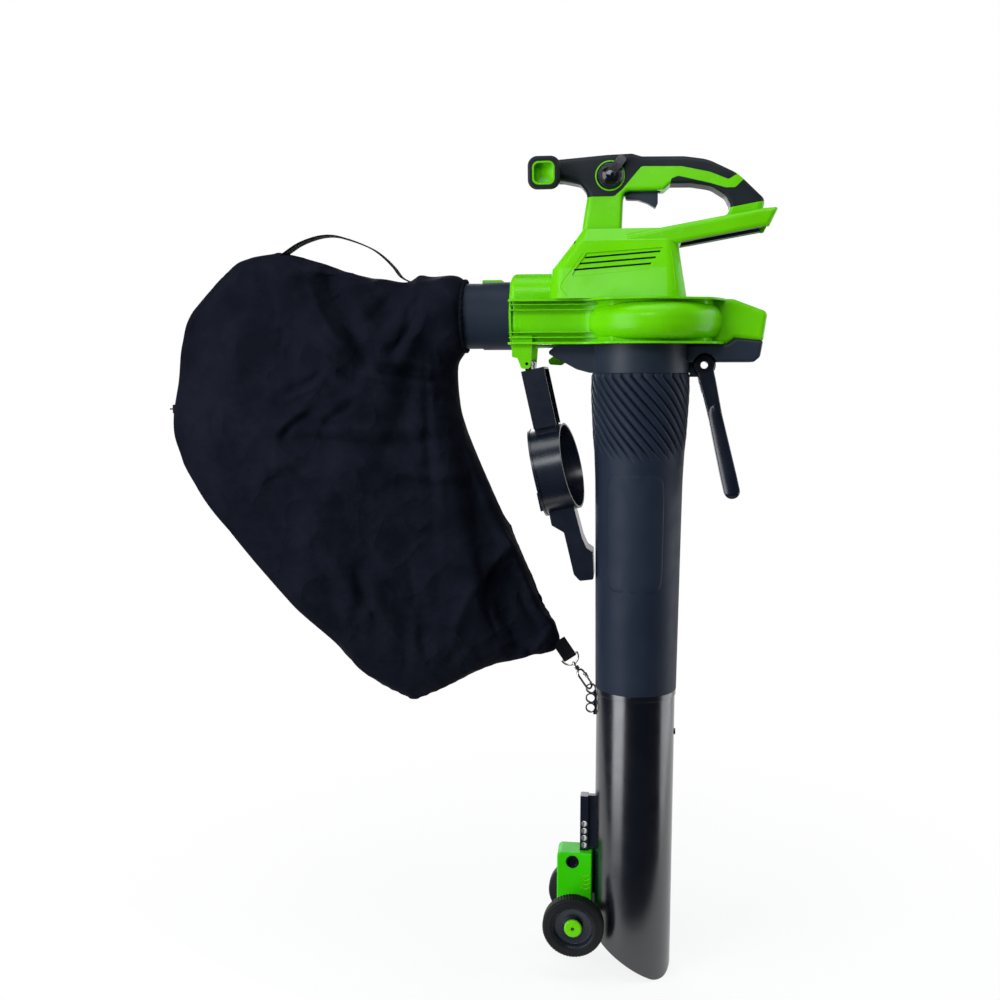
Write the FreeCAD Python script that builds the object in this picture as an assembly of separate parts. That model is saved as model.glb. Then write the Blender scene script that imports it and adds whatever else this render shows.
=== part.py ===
"""Cordless leaf blower and vacuum, shown in its vacuum form: motor unit, two suction tubes,
wheeled foot and leaf bag.  Millimetres.  +X points to the rear (battery end), -X to the outlet
nozzle and the bag, +Z up, -Y is the tool's left side.  The origin is the middle of the main grip."""
import FreeCAD, Part
import math
import os

os.makedirs("parts", exist_ok=True)
V = FreeCAD.Vector

# ---------------------------------------------------------------- driving dimensions
WALL = 2.6                # moulded wall of the housings
RUN = 0.05                # radial clearance of a shaft or pin in its hole
GAP = 0.3                 # clearance between a moving piece and its neighbour
SLIP = 0.2                # clearance between pieces that are pushed together and stay

FAN_X = -27.0             # upright axis of the motor, the fan, the collar and the tubes
VOLUTE_X = -12.0          # centre of the fan casing, off the fan axis as a scroll is
VOLUTE_R = 89.0
VOLUTE_TOP_Z = -165.0
VOLUTE_BOTTOM_Z = -211.0
VOLUTE_ROUND = 20.0       # rounding of the scroll's rim
ROOF_Z = -160.0           # top flange, which is the floor of the motor bay
CASE_FLOOR_Z = -216.0     # underside of the green housing
FLANGE = 2.6
FLANGE_R = 86.0

# Main handle, a clamshell standing across Y
GRIP_WIDTH = 38.0
GRIP_ROUND = 8.0
HOLE_ROUND = 4.0
HANDLE_WALL = 4.5
SKIN = 2.0                # thickness of the rubber overmould
HANDLE_OUTLINE = [(-150, 15, 9), (-73, 20.5, 60), (-41.5, 21.4, 12), (-29.6, 17.6, 14), (23, 16.6, 60),
                  (52, 12.4, 60), (89.5, -5.8, 60), (123.3, -38, 10), (118, -66, 9), (18, -84, 9),
                  (8, -104, 9), (-112, -104, 9), (-112.5, -86, 12), (-104, -73.6, 20), (-96.8, -27, 12),
                  (-106, -15.4, 10), (-128, -10.6, 20), (-150, -10, 9)]
FINGER_OUTLINE = [(-52, -24.2, 9), (-53.5, -76.5, 6), (-2.4, -73.6, 60), (32.4, -67.1, 80), (77, -56.5, 6),
                  (81.5, -45, 8), (75, -33, 12), (57, -21.6, 25), (33, -17.4, 30), (6.5, -17, 5),
                  (-1.3, -24.2, 4.6)]
TOP_SKIN_OUTLINE = [(-165, 45, 0), (62, 45, 0), (93, -3.5, 0), (86.5, -8.2, 2), (77.8, -13.8, 5),
                    (55.4, -4.5, 30), (20.1, 3.2, 30), (-29.4, 4.4, 6), (-52.9, -23, 14), (-63, -31.5, 8),
                    (-165, -31.5, 0)]
REAR_SKIN_OUTLINE = [(4.5, -30, 0), (7.5, -11.5, 3), (15.7, -8.2, 5), (53.4, -17.1, 40), (74.5, -23.6, 6),
                     (86.2, -23.6, 4), (100, -10, 0), (140, -37.2, 0), (60, -51.3, 0)]

# Front grip, a short bar that stands out to the left of the arm
BAR_X = -149.5
BAR_Z = 2.5
BAR_NEAR_Y = -52.0
BAR_FAR_Y = 17.0
BAR_DROOP = 10.0          # degrees that its free end points down
BAR_HALF = 17.5
BAR_FLARE = 20.0
BAR_CORE_HALF = 14.0
BAR_HOLLOW_HALF = 11.6
BAR_HOLLOW_DEPTH = 42.0

# Battery dock, under the rear of the handle
DOCK_X = 16.6
DOCK_Z = -92.3
DOCK_LENGTH = 112.0
DOCK_HEIGHT = 23.0
DOCK_LIP = 14.5           # how far its upper rear edge overhangs
DOCK_HALF = 37.0
DOCK_PITCH = 9.8          # degrees that it rises towards the rear
RAIL_HEIGHT = 10.0
RAIL_HALF = 29.0          # from the middle to the outside of each rail

# Motor bay, lofted through rounded rectangles: level, front x, rear x, half width, corner radius
BAY_SECTIONS = [(-72, -103, 10, 26, 10), (-88, -114, 17, 38, 16), (-122, -140, 22.5, 49, 20),
                (-160, -143, 29, 57, 24)]
VENT_PITCH = 7.6
VENT_SLOT = 2.4
VENT_COUNT = 3

# Outlet duct and nozzle, along X
NOZZLE_Y = 8.0
NOZZLE_Z = -178.0
NOZZLE_R = 44.0
NOZZLE_SMALL_R = 42.5
NOZZLE_WALL = 2.4
NOZZLE_END_X = -306.0
NOZZLE_STEP_X = -232.0
DUCT_FACE_X = -194.0
DUCT_HALF = 44.0
DUCT_TOP_Z = -125.0
DUCT_BOTTOM_Z = -220.0
DUCT_ROUND = 40.0
SPIGOT = 14.0             # length of a spigot that goes into its neighbour
FIN = 1.3
FIN_LEVELS = (-166.5, -173.3, -201.0, -207.5)

# Rear block, beside the scroll
BLOCK_HALF = 25.0
BLOCK_OUTLINE = [(20, -158.5, 0), (87.5, -160.1, 8), (129.5, -176.2, 7), (124.8, -212, 2), (90, -208.6, 2),
                 (80, -216, 2), (20, -216, 0)]
BASE_OUTLINE = [(30, -216, 0), (80, -216, 2), (90, -208.6, 2), (124.8, -212, 2), (121.6, -232, 7),
                (114, -238.5, 6), (30, -238.5, 0)]

# Collar under the fan, and the suction tubes
COLLAR_R = 62.8
COLLAR_BOTTOM_Z = -252.0
COLLAR_BORE_R = 59.6
TUBE_WALL = 2.4
SHOULDER_Z = -285.0       # where the upper tube starts to narrow
UPPER_MID_Z = -372.0
UPPER_MID_R = 57.6
SEAM_Z = -668.0
UPPER_END_R = 53.6
LOWER_R = 52.0
BEAD_R = 53.2
BEAD_HEIGHT = 7.0
TUBE_END_Z = -1062.0
CUT_RISE = 57.0           # how far the slanted cut climbs to the tube's front
CUT_START_Z = TUBE_END_Z + CUT_RISE
SPIGOT_LONG = 34.0

# Inlet cover, hinged under the outlet duct
HINGE_X = -170.5
HINGE_Z = -240.5
HINGE_PIN_R = 2.0
COVER_HALF = 36.0
COVER_ANGLE = 12.8        # degrees that it hangs off the vertical, foot towards the tube
COVER_OUT_T = -10.0       # outer and inner faces of its arm, measured from the hinge
COVER_IN_T = 19.8
COVER_ARM_S = 84.0        # from the hinge to the end of its side plates
COVER_NECK_HALF = 28.0    # half the width where the arm runs into the ring
COVER_WALL = 2.6
RING_S = 141.5            # from the hinge to the middle of the ring
RING_R = 57.0
RING_OUT_T = -21.0
RING_IN_T = 25.5
RING_SLANT = 8.0          # degrees that the ring's rim leans
FOOT_END_S = 292.7
FOOT_HALF = 22.0
SPRING_SEAT = 7.5         # half the gap in the knuckle that holds the cover's spring
EAR_OUTLINE = [(-189.5, -205, 0), (-189.5, -231.8, 1.5), (-182.5, -233.2, 2), (-177.4, -246.5, 4),
               (-166, -247, 4), (-163.6, -216, 2), (-163.6, -205, 0)]
EAR_THICK = 5.0

# Clamp lever, on a lug under the rear block
LEVER_X = 53.4
LEVER_Z = -242.1
LEVER_LENGTH = 176.0
LEVER_EYE_R = 13.6
LEVER_WIDTH = 21.0
LEVER_WAIST = 17.6        # width where the hand takes hold of it
LEVER_WAIST_S = 68.0
LEVER_ANGLE = 13.6
LEVER_HALF = 12.0
LUG_HALF = 5.5
EYELET_R = 6.6
EYELET_HOLE_R = 4.6
FORK_LENGTH = 34.0

# Wheeled foot
WHEEL_X = -104.7
WHEEL_LIFT = 76.6         # height of the wheel's axle over the tube's lowest point
WHEEL_Z = TUBE_END_Z + WHEEL_LIFT
WHEEL_R = 41.2
TYRE_WIDTH = 20.0
TRACK_OUT = 62.0          # half the width over the wheels
HUB_R = 21.0
HUB_CAP_R = 11.6
HUB_HOLE_R = 2.6
AXLE_R = 4.0
CARRIAGE_RISE = 85.4      # top of the carriage over the axle
CARRIAGE_TOP_Z = WHEEL_Z + CARRIAGE_RISE
CARRIAGE_HALF = 18.0
CARRIAGE_FRONT_X = -129.5
CARRIAGE_REAR_X = -82.0
RACK_OVER_HOLES = 39.3    # rack above its highest hole
RACK_FOOT_LIFT = 23.4     # foot of the rack over the axle
RACK_FRONT_X = -99.0
RACK_NECK_X = -88.2
RACK_HALF = 8.0
RACK_NECK_HALF = 4.0
RACK_HOLE_R = 4.1
RACK_PITCH = 10.1
RACK_HOLES = 9
BUTTON_X = -108.6
BUTTON_LIFT = 72.6        # height button over the axle
BUTTON_Z = WHEEL_Z + BUTTON_LIFT
BUTTON_STEP = 5           # hole of the rack, from the top, that the button stands at
RACK_FIRST_Z = BUTTON_Z + BUTTON_STEP * RACK_PITCH
RACK_TOP_Z = RACK_FIRST_Z + RACK_OVER_HOLES
RACK_BOTTOM_Z = WHEEL_Z + RACK_FOOT_LIFT
BUTTON_R = 8.6
BUTTON_TRAVEL = 4.5

# Hook strip for the bag, on the lower tube
HOOK_X = -86.6
HOOK_DROP = 5.8           # highest hook ring under the tubes' seam
HOOK_Z = SEAM_Z - HOOK_DROP
HOOK_PITCH = 13.4
HOOK_RING_R = 6.9
HOOK_HOLE_R = 5.2
HOOK_THICK = 4.0
HOOK_COUNT = 3

# Leaf bag: level, left x, right x, half thickness of each horizontal section
BAG_SKIN = 1.5
BAG_NECK_X = -262.0
BAG_SECTIONS = [(-91, -525, -496, 5), (-95, -547, -478, 15), (-104, -575, -437, 27), (-115, -590, -405, 37),
                (-127, -605, -368, 45), (-140, -618, -300, 52), (-160, -636, -262, 58), (-181, -650, -258, 63),
                (-219, -657, -262, 69), (-263, -657, -264, 74), (-300, -662, -261, 77), (-332, -666, -251, 78),
                (-373, -656, -234, 78), (-423, -625, -211, 75), (-460, -594, -192, 71), (-500, -563, -171, 66),
                (-538, -531, -152, 60), (-570, -503, -138, 53), (-598, -472, -126, 45), (-616, -452, -122, 39),
                (-628, -443, -129, 34), (-638, -435, -205, 29), (-655, -420, -245, 22), (-680, -382, -290, 12),
                (-696, -352, -325, 4)]

# Bag hardware
WEB_WIDTH = 25.0          # webbing of the carrying strap
WEB_THICK = 2.0
TAB_WIDTH = 19.4
DRING_R = 12.0
DRING_WIRE_R = 1.3
HOOK_LEAN = 34.5          # degrees that the snap hook leans off the vertical, towards the bag
HOOK_TURN = 50.0          # degrees that its loop is turned, so that it can pass through the hook strip
BEND_R = 5.5
HOOK_WIRE_R = 1.5
LOOP_LENGTH = 18.0
GATE_PIVOT_H = 13.5
GATE_PIN_R = 0.6
GATE_R = 1.3
BARREL_R = 3.2
EYE_R = 3.4
EYE_WIRE_R = 1.2

# ---------------------------------------------------------------- shape helpers


def inset_outline(corners, inset):
    """Move every side of a closed outline inwards; rounded corners keep their centres."""
    if inset == 0:
        return list(corners)
    count = len(corners)
    area = sum(corners[i - 1][0] * corners[i][1] - corners[i][0] * corners[i - 1][1] for i in range(count))
    side = 1.0 if area > 0 else -1.0
    moved = []
    for i in range(count):
        before, here, after = corners[i - 1], corners[i], corners[(i + 1) % count]
        first = V(here[0] - before[0], here[1] - before[1], 0).normalize()
        second = V(after[0] - here[0], after[1] - here[1], 0).normalize()
        turn = first.cross(second).z
        inward_1 = V(-first.y, first.x, 0) * side
        inward_2 = V(-second.y, second.x, 0) * side
        reach = inset / (1 + inward_1 * inward_2)
        point = V(here[0], here[1], 0) + (inward_1 + inward_2) * reach
        sign = 1.0 if turn * side > 0 else -1.0
        radius = max(here[2] - sign * inset, 0) if here[2] > 0 else 0
        moved.append((point.x, point.y, radius))
    return moved


def outline_wire(corners, place):
    """Closed wire through (a, b, radius) corners; place turns (a, b) into a point in space."""
    count = len(corners)
    starts, middles, ends = [], [], []
    for i in range(count):
        here = V(corners[i][0], corners[i][1], 0)
        before = V(corners[i - 1][0], corners[i - 1][1], 0)
        after = V(corners[(i + 1) % count][0], corners[(i + 1) % count][1], 0)
        back = (before - here).normalize()
        ahead = (after - here).normalize()
        half = back.getAngle(ahead) / 2
        radius = corners[i][2]
        reach = radius / math.tan(half)
        starts.append(here + back * reach)
        ends.append(here + ahead * reach)
        if radius > 0:
            inward = (back + ahead).normalize()
            middles.append(here + inward * (radius / math.sin(half) - radius))
        else:
            middles.append(None)
    edges = []
    for i in range(count):
        if middles[i] is not None:
            edges.append(Part.Arc(place(starts[i]), place(middles[i]), place(ends[i])).toShape())
        following = (i + 1) % count
        if (starts[following] - ends[i]).Length > 1e-6:
            edges.append(Part.LineSegment(place(ends[i]), place(starts[following])).toShape())
    return Part.Wire(edges)


def slab_y(corners, y0, y1):
    """Outline of (x, z, radius) corners, extruded along Y."""
    wire = outline_wire(corners, lambda p: V(p.x, y0, p.y))
    return Part.Face(wire).extrude(V(0, y1 - y0, 0))


def slab_z(corners, z0, z1):
    """Outline of (x, y, radius) corners, extruded along Z."""
    wire = outline_wire(corners, lambda p: V(p.x, p.y, z0))
    return Part.Face(wire).extrude(V(0, 0, z1 - z0))


def slab_x(corners, x0, x1):
    """Outline of (y, z, radius) corners, extruded along X."""
    wire = outline_wire(corners, lambda p: V(x0, p.x, p.y))
    return Part.Face(wire).extrude(V(x1 - x0, 0, 0))


def rectangle(a0, a1, b0, b1, radius):
    return [(a0, b0, radius), (a1, b0, radius), (a1, b1, radius), (a0, b1, radius)]


def box(x0, x1, y0, y1, z0, z1):
    return Part.makeBox(x1 - x0, y1 - y0, z1 - z0, V(x0, y0, z0))


def rod_x(radius, y, z, x0, x1):
    return Part.makeCylinder(radius, x1 - x0, V(x0, y, z), V(1, 0, 0))


def rod_y(radius, x, z, y0, y1):
    return Part.makeCylinder(radius, y1 - y0, V(x, y0, z), V(0, 1, 0))


def rod_z(radius, x, y, z0, z1):
    return Part.makeCylinder(radius, z1 - z0, V(x, y, z0), V(0, 0, 1))


def turned_z(profile, x, y):
    """Solid of revolution about an upright axis from closed (radius, z) points."""
    points = [V(x + r, y, z) for r, z in profile]
    face = Part.Face(Part.makePolygon(points + points[:1]))
    return face.revolve(V(x, y, 0), V(0, 0, 1), 360)


def turned_y(profile, x, z):
    """Solid of revolution about an axis along Y from closed (radius, y) points."""
    points = [V(x + r, y, z) for r, y in profile]
    face = Part.Face(Part.makePolygon(points + points[:1]))
    return face.revolve(V(x, 0, z), V(0, 1, 0), 360)


def mirrored(shape):
    return shape.mirror(V(0, 0, 0), V(0, 1, 0))


def rounded_edges(shape, radius, keep):
    """Fillet the edges that keep(edge) picks."""
    if radius < 0.2:
        return shape
    return shape.makeFillet(radius, [edge for edge in shape.Edges if keep(edge)])


def fuse(shapes):
    return shapes[0].multiFuse(shapes[1:]).removeSplitter()


def largest(shape):
    """The biggest solid of a cut, without the crumbs that a cut can leave."""
    return max(shape.Solids, key=lambda solid: solid.Volume)


written = []


def save(name, shape):
    """Write one node and report its solids and volume."""
    solids = shape.Solids
    out = solids[0] if len(solids) == 1 else Part.makeCompound(solids)
    out.exportStep("parts/" + name + ".step")
    written.append(name)
    print(f"{name:24s} {len(solids):2d} solids {sum(s.Volume for s in solids) / 1000:9.2f} cm3 valid {out.isValid()}")


# ---------------------------------------------------------------- main handle and front grip


def handle(inset):
    """Handle, neck and arm as one rounded slab; inset moves every face inwards."""
    half = GRIP_WIDTH / 2 - inset
    body = slab_y(inset_outline(HANDLE_OUTLINE, inset), -half, half)
    hole = slab_y(inset_outline(FINGER_OUTLINE, -inset), -half, half)
    on_side = lambda edge: abs(abs(edge.CenterOfMass.y) - half) < 0.01
    body = rounded_edges(body, GRIP_ROUND - inset, on_side)
    body = body.cut(hole)
    inside = lambda edge: on_side(edge) and near_outline(edge.CenterOfMass, inset_outline(FINGER_OUTLINE, -inset))
    return rounded_edges(body, HOLE_ROUND - inset, inside)


def near_outline(point, corners):
    """True inside the outline's box grown by a little: picks the finger opening's own edges."""
    reach = 0.5
    low_x = min(c[0] for c in corners) - reach
    high_x = max(c[0] for c in corners) + reach
    low_z = min(c[1] for c in corners) - reach
    high_z = max(c[1] for c in corners) + reach
    return low_x < point.x < high_x and low_z < point.z < high_z


def bar_loft(stations):
    """Bar along Y through rounded squares (y, half size, corner radius), drooped at its free end."""
    wires = []
    for y, half, radius in stations:
        corners = rectangle(BAR_X - half, BAR_X + half, BAR_Z - half, BAR_Z + half, radius)
        wires.append(outline_wire(corners, lambda p, y=y: V(p.x, y, p.y)))
    shape = Part.makeLoft(wires, True, True)
    shape.rotate(V(BAR_X, 0, BAR_Z), V(1, 0, 0), BAR_DROOP)
    return shape


flare_y = BAR_NEAR_Y + 5
bar_outer = bar_loft([(BAR_NEAR_Y, BAR_HALF, 10), (flare_y, BAR_FLARE, 12), (flare_y + 7, BAR_FLARE, 12),
                      (flare_y + 14, BAR_HALF, 11), (BAR_FAR_Y - 5, BAR_HALF, 11),
                      (BAR_FAR_Y, BAR_HALF - 4, 8)])
bar_core = bar_loft([(BAR_NEAR_Y, BAR_CORE_HALF, 8), (BAR_FAR_Y - 6, BAR_CORE_HALF, 8)])
bar_hollow = bar_loft([(BAR_NEAR_Y - 1, BAR_HOLLOW_HALF, 5.5), (BAR_NEAR_Y + BAR_HOLLOW_DEPTH, BAR_HOLLOW_HALF - 1, 5)])

handle_full = handle(0)
handle_core = handle(SKIN)
reach_y = GRIP_WIDTH
top_zone = slab_y(TOP_SKIN_OUTLINE, -reach_y, reach_y)
rear_zone = slab_y(REAR_SKIN_OUTLINE, -reach_y, reach_y)

# The cruise lever's knob sits in a round seat on the left side
DIAL_X = -68.4
DIAL_Z = -6.4
DIAL_R = 16.6
BEZEL_R = 18.6
DIAL_SHAFT_R = 4.0
core_half = GRIP_WIDTH / 2 - SKIN
grip_half = GRIP_WIDTH / 2
bezel_seat = rod_y(BEZEL_R, DIAL_X, DIAL_Z, -grip_half - 5, -core_half)

arm_spigot = handle_core.cut(bar_core)
grip_top_skin = handle_full.common(top_zone).cut(handle_core).cut(bar_outer).cut(bezel_seat)
grip_rear_skin = handle_full.common(rear_zone).cut(handle_core)
front_sleeve = bar_outer.cut(bar_core).cut(handle_core)
front_core = bar_core.cut(bar_hollow)
bezel_inner_r = DIAL_R + GAP
dial_bezel = rod_y(BEZEL_R, DIAL_X, DIAL_Z, -grip_half - 1.4, -core_half)
dial_bezel = dial_bezel.cut(rod_y(bezel_inner_r, DIAL_X, DIAL_Z, -grip_half - 2, -core_half))

# ---------------------------------------------------------------- housing, as one body first


def bay(inset):
    """Motor bay: a loft through rounded rectangles."""
    wires = []
    for z, front, rear, half, radius in BAY_SECTIONS:
        corners = rectangle(front + inset, rear - inset, -half + inset, half - inset, radius - inset)
        wires.append(outline_wire(corners, lambda p, z=z: V(p.x, p.y, z)))
    return Part.makeLoft(wires, True, True)


def scroll(inset):
    """Fan scroll: a disc with a rounded rim."""
    radius = VOLUTE_R - inset
    disc = rod_z(radius, VOLUTE_X, 0, VOLUTE_BOTTOM_Z + inset, VOLUTE_TOP_Z - inset)
    return disc.makeFillet(VOLUTE_ROUND - inset, [e for e in disc.Edges if abs(e.Length - 2 * math.pi * radius) < 0.1])


def duct(inset, x0, x1):
    """Outlet duct: a rounded box along X, round underneath and flatter on top."""
    low, high = NOZZLE_Y - DUCT_HALF + inset, NOZZLE_Y + DUCT_HALF - inset
    bottom, top = DUCT_BOTTOM_Z + inset, DUCT_TOP_Z - inset
    corners = [(low, bottom, DUCT_ROUND - inset), (high, bottom, DUCT_ROUND - inset),
               (high, top, 26 - inset), (low, top, 26 - inset)]
    return slab_x(corners, x0, x1)


def dock_place(shape):
    """Turn a dock piece from its level frame to its pitch under the handle."""
    shape.rotate(V(0, 0, 0), V(0, 1, 0), -DOCK_PITCH)
    shape.translate(V(DOCK_X, 0, DOCK_Z))
    return shape


dock_outline = [(-60, 0, 0), (DOCK_LENGTH, 0, 2), (DOCK_LENGTH + DOCK_LIP, DOCK_HEIGHT - 2, 2),
                (DOCK_LENGTH - 4, DOCK_HEIGHT, 20), (-60, DOCK_HEIGHT, 0)]
dock_outer = slab_y(dock_outline, -DOCK_HALF, DOCK_HALF)
dock_outer = rounded_edges(dock_outer, 6.0, lambda e: abs(abs(e.CenterOfMass.y) - DOCK_HALF) < 0.01
                           and e.CenterOfMass.z > DOCK_HEIGHT - 3)
dock_outer = dock_place(dock_outer)
DOCK_ROOF = DOCK_HEIGHT - 6
DOCK_FRONT = 4.0
DOCK_REAR = DOCK_LENGTH - 4
dock_recess = dock_place(box(DOCK_FRONT, DOCK_REAR, -DOCK_HALF + WALL, DOCK_HALF - WALL, -1, DOCK_ROOF))
dock_mouth = dock_place(box(DOCK_REAR - 20, DOCK_LENGTH + 40, -RAIL_HALF - 2, RAIL_HALF + 2, -1, RAIL_HEIGHT))

flange_outline = [(DUCT_FACE_X, -50, 3), (-95, -50, 20), (-70, -FLANGE_R + 10, 20), (-12, -FLANGE_R + 1, 70),
                  (62, -60, 30), (76, -30, 10), (76, 30, 10), (62, 60, 30), (-12, FLANGE_R - 1, 70),
                  (-70, FLANGE_R - 10, 20), (-95, 62, 20), (DUCT_FACE_X, 62, 3)]
roof_flange = slab_z(flange_outline, ROOF_Z - FLANGE, ROOF_Z)
floor_flange = slab_z(flange_outline, CASE_FLOOR_Z, CASE_FLOOR_Z + FLANGE)
CORE_STEP = 14.0          # how far the fan chamber's wall stands inside the flanges
core_block = slab_z(inset_outline(flange_outline, CORE_STEP), CASE_FLOOR_Z, ROOF_Z)
rear_block = slab_y(BLOCK_OUTLINE, -BLOCK_HALF, BLOCK_HALF)
rear_block = rear_block.makeFillet(6.0, [e for e in rear_block.Edges
                                         if abs(abs(e.CenterOfMass.y) - BLOCK_HALF) < 0.01
                                         and e.CenterOfMass.x > 60 and e.CenterOfMass.z > CASE_FLOOR_Z + 12])
duct_body = duct(0, DUCT_FACE_X, -60)
duct_body = duct_body.makeFillet(8.0, [e for e in duct_body.Edges
                                       if abs(e.CenterOfMass.x - DUCT_FACE_X) < 0.01
                                       and e.CenterOfMass.z > NOZZLE_Z + 20])
duct_body = duct_body.cut(rod_z(COLLAR_R + GAP, FAN_X, 0, -240, CASE_FLOOR_Z))
mouth_ring = rod_x(NOZZLE_R + 2.2, NOZZLE_Y, NOZZLE_Z, DUCT_FACE_X, DUCT_FACE_X + 3)
fins = [box(DUCT_FACE_X + 1, VOLUTE_X - 60, -46, NOZZLE_Y + 48, z - FIN / 2, z + FIN / 2) for z in FIN_LEVELS]
near_ear = slab_y(EAR_OUTLINE, -COVER_HALF - GAP - EAR_THICK, -COVER_HALF - GAP)
far_ear = mirrored(near_ear)
TAB_OUTLINE = [(-139, -214, 0), (-121, -214, 0), (-124, -236, 4), (-131, -242, 3), (-147, -241, 3.5),
               (-149.5, -235, 3), (-141, -229, 4)]
hook_tab = slab_y(TAB_OUTLINE, COVER_HALF - 6, COVER_HALF)

handle_green = arm_spigot.fuse(handle_full.cut(top_zone).cut(rear_zone)).cut(bar_core)
outer = fuse([handle_green, bay(0), dock_outer, scroll(0), duct_body, mouth_ring, roof_flange, floor_flange,
              core_block, rear_block, hook_tab, near_ear, far_ear] + fins)

# Hollow inside
handle_hollow = handle(HANDLE_WALL).common(box(-124, 112, -GRIP_WIDTH, GRIP_WIDTH, -100, 40))
bay_hollow = bay(WALL).common(box(-116, 40, -80, 80, ROOF_Z, BAY_SECTIONS[0][0] - WALL))
scroll_hollow = scroll(WALL)
chamber = slab_z(inset_outline(flange_outline, CORE_STEP + WALL), CASE_FLOOR_Z - 1, VOLUTE_TOP_Z - WALL)
chamber = chamber.common(box(-112, VOLUTE_X + VOLUTE_R - WALL, -90, 90, CASE_FLOOR_Z - 1, ROOF_Z))
shaft_hole = rod_z(12, FAN_X, 0, VOLUTE_TOP_Z - WALL - 1, ROOF_Z + 1)
duct_hollow = duct(WALL, DUCT_FACE_X + SPIGOT + 2, -120)
throat = Part.makeLoft([outline_wire(rectangle(NOZZLE_Y - 30, NOZZLE_Y + 30, -212, -150, 20), lambda p: V(-122, p.x, p.y)),
                        outline_wire(rectangle(NOZZLE_Y - 30, NOZZLE_Y + 30, -206, -170, 10), lambda p: V(-84, p.x, p.y))],
                       True, True)
spigot_r = NOZZLE_R - NOZZLE_WALL - SLIP
mouth_bore = rod_x(spigot_r + SLIP, NOZZLE_Y, NOZZLE_Z, DUCT_FACE_X - 1, DUCT_FACE_X + SPIGOT + 3)
block_hollow = slab_y(inset_outline(BLOCK_OUTLINE, WALL), -BLOCK_HALF + WALL, BLOCK_HALF - WALL)
block_hollow = block_hollow.common(box(VOLUTE_X + VOLUTE_R + WALL, 140, -60, 60, -205, -150))
hollows = [handle_hollow, bay_hollow, scroll_hollow, chamber, shaft_hole, duct_hollow, throat, mouth_bore,
           block_hollow, dock_recess, dock_mouth]

# Trigger slot, knob shaft hole, vents and the pins' seats
TRIGGER_HALF = 6.5
TRIGGER_PIVOT_X = -45.0
TRIGGER_PIVOT_Z = -15.5
PIVOT_PIN_R = 2.0
trigger_slot = box(-51.5, -5.5, -TRIGGER_HALF - GAP, TRIGGER_HALF + GAP, -36, -16)
dial_hole = rod_y(DIAL_SHAFT_R + RUN, DIAL_X, DIAL_Z, -grip_half, 0)
vents = []
for row in range(VENT_COUNT):
    shift = row * VENT_PITCH
    slot = [(-97.0 - shift * 0.85, -108.2 - shift, 0.8), (-3.5 - shift * 0.75, -101.2 - shift, 0.8),
            (-5.3 - shift * 0.75, -101.2 - VENT_SLOT - shift, 0.8),
            (-99.0 - shift * 0.85, -108.2 - VENT_SLOT - shift, 0.8)]
    vents.append(slab_y(slot, -80, -30))
    vents.append(slab_y(slot, 30, 80))
vent_frame = slab_y([(-95.5, -103.5, 2), (0.5, -97.5, 2), (-19.0, -124.6, 2), (-114.5, -133.0, 2)], -80, 80)
vent_recess = vent_frame.common(bay(0).cut(bay(1.1)))
hinge_bore = rod_y(HINGE_PIN_R, HINGE_X, HINGE_Z, -COVER_HALF - 20, COVER_HALF + 20)

# Screw pillars: each joins the two halves
SCREW_R = 1.6
SCREW_HEAD_R = 3.5
SCREW_HEAD = 2.4
PILLAR_R = 4.6
SCREW_SEAT_Y = 9.0
SCREW_DEPTH = 13.0
PILLARS = [(-80.0, -52.0), (-121.0, -122.0), (10.0, -118.0), (106.0, -192.0), (96.0, -30.0)]
pillars = [rod_y(PILLAR_R, x, z, -70, 70) for x, z in PILLARS]
pivot_posts = rod_y(4.5, TRIGGER_PIVOT_X, TRIGGER_PIVOT_Z, -40, 40)
pivot_posts = pivot_posts.cut(box(-70, 0, -TRIGGER_HALF - 4, TRIGGER_HALF + 4, -40, 20))
posts = outer.common(fuse(pillars + [pivot_posts]))

shell = outer.cut(hollows).fuse(posts.cut(mouth_bore)).removeSplitter()
pivot_bore = rod_y(PIVOT_PIN_R, TRIGGER_PIVOT_X, TRIGGER_PIVOT_Z, -TRIGGER_HALF - 7, TRIGGER_HALF + 7)
shell = shell.cut([trigger_slot, dial_hole, vent_recess, hinge_bore, pivot_bore] + vents)
left_box = box(-400, 300, -300, 0, -400, 100)
right_box = box(-400, 300, 0, 300, -400, 100)
left_half = largest(shell.common(left_box))
right_half = largest(shell.common(right_box))
screws = []
for x, z in PILLARS:
    left_half = left_half.cut(rod_y(SCREW_R, x, z, -SCREW_DEPTH, 0))
    right_half = right_half.cut(rod_y(SCREW_R + SLIP, x, z, 0, SCREW_SEAT_Y))
    right_half = right_half.cut(rod_y(SCREW_HEAD_R + SLIP, x, z, SCREW_SEAT_Y, 90))
    screw = rod_y(SCREW_R, x, z, -SCREW_DEPTH, SCREW_SEAT_Y)
    screw = screw.fuse(rod_y(SCREW_HEAD_R, x, z, SCREW_SEAT_Y, SCREW_SEAT_Y + SCREW_HEAD))
    socket = rod_y(1.2, x, z, SCREW_SEAT_Y + SCREW_HEAD - 1.4, SCREW_SEAT_Y + SCREW_HEAD + 1)
    screws.append(screw.cut(socket))
rear_screw = PILLARS[-1]
grip_rear_skin = grip_rear_skin.cut(rod_y(SCREW_HEAD_R + SLIP, rear_screw[0], rear_screw[1], 0, 90))

save("housing_left", left_half)
save("housing_right", right_half)
save("grip_top_overmould", grip_top_skin)
save("grip_rear_overmould", grip_rear_skin)
save("front_grip_sleeve", front_sleeve)
save("front_grip_core", front_core)
save("dial_bezel", dial_bezel)
save("housing_screws", Part.makeCompound(screws))

# ---------------------------------------------------------------- inside the handle

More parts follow.
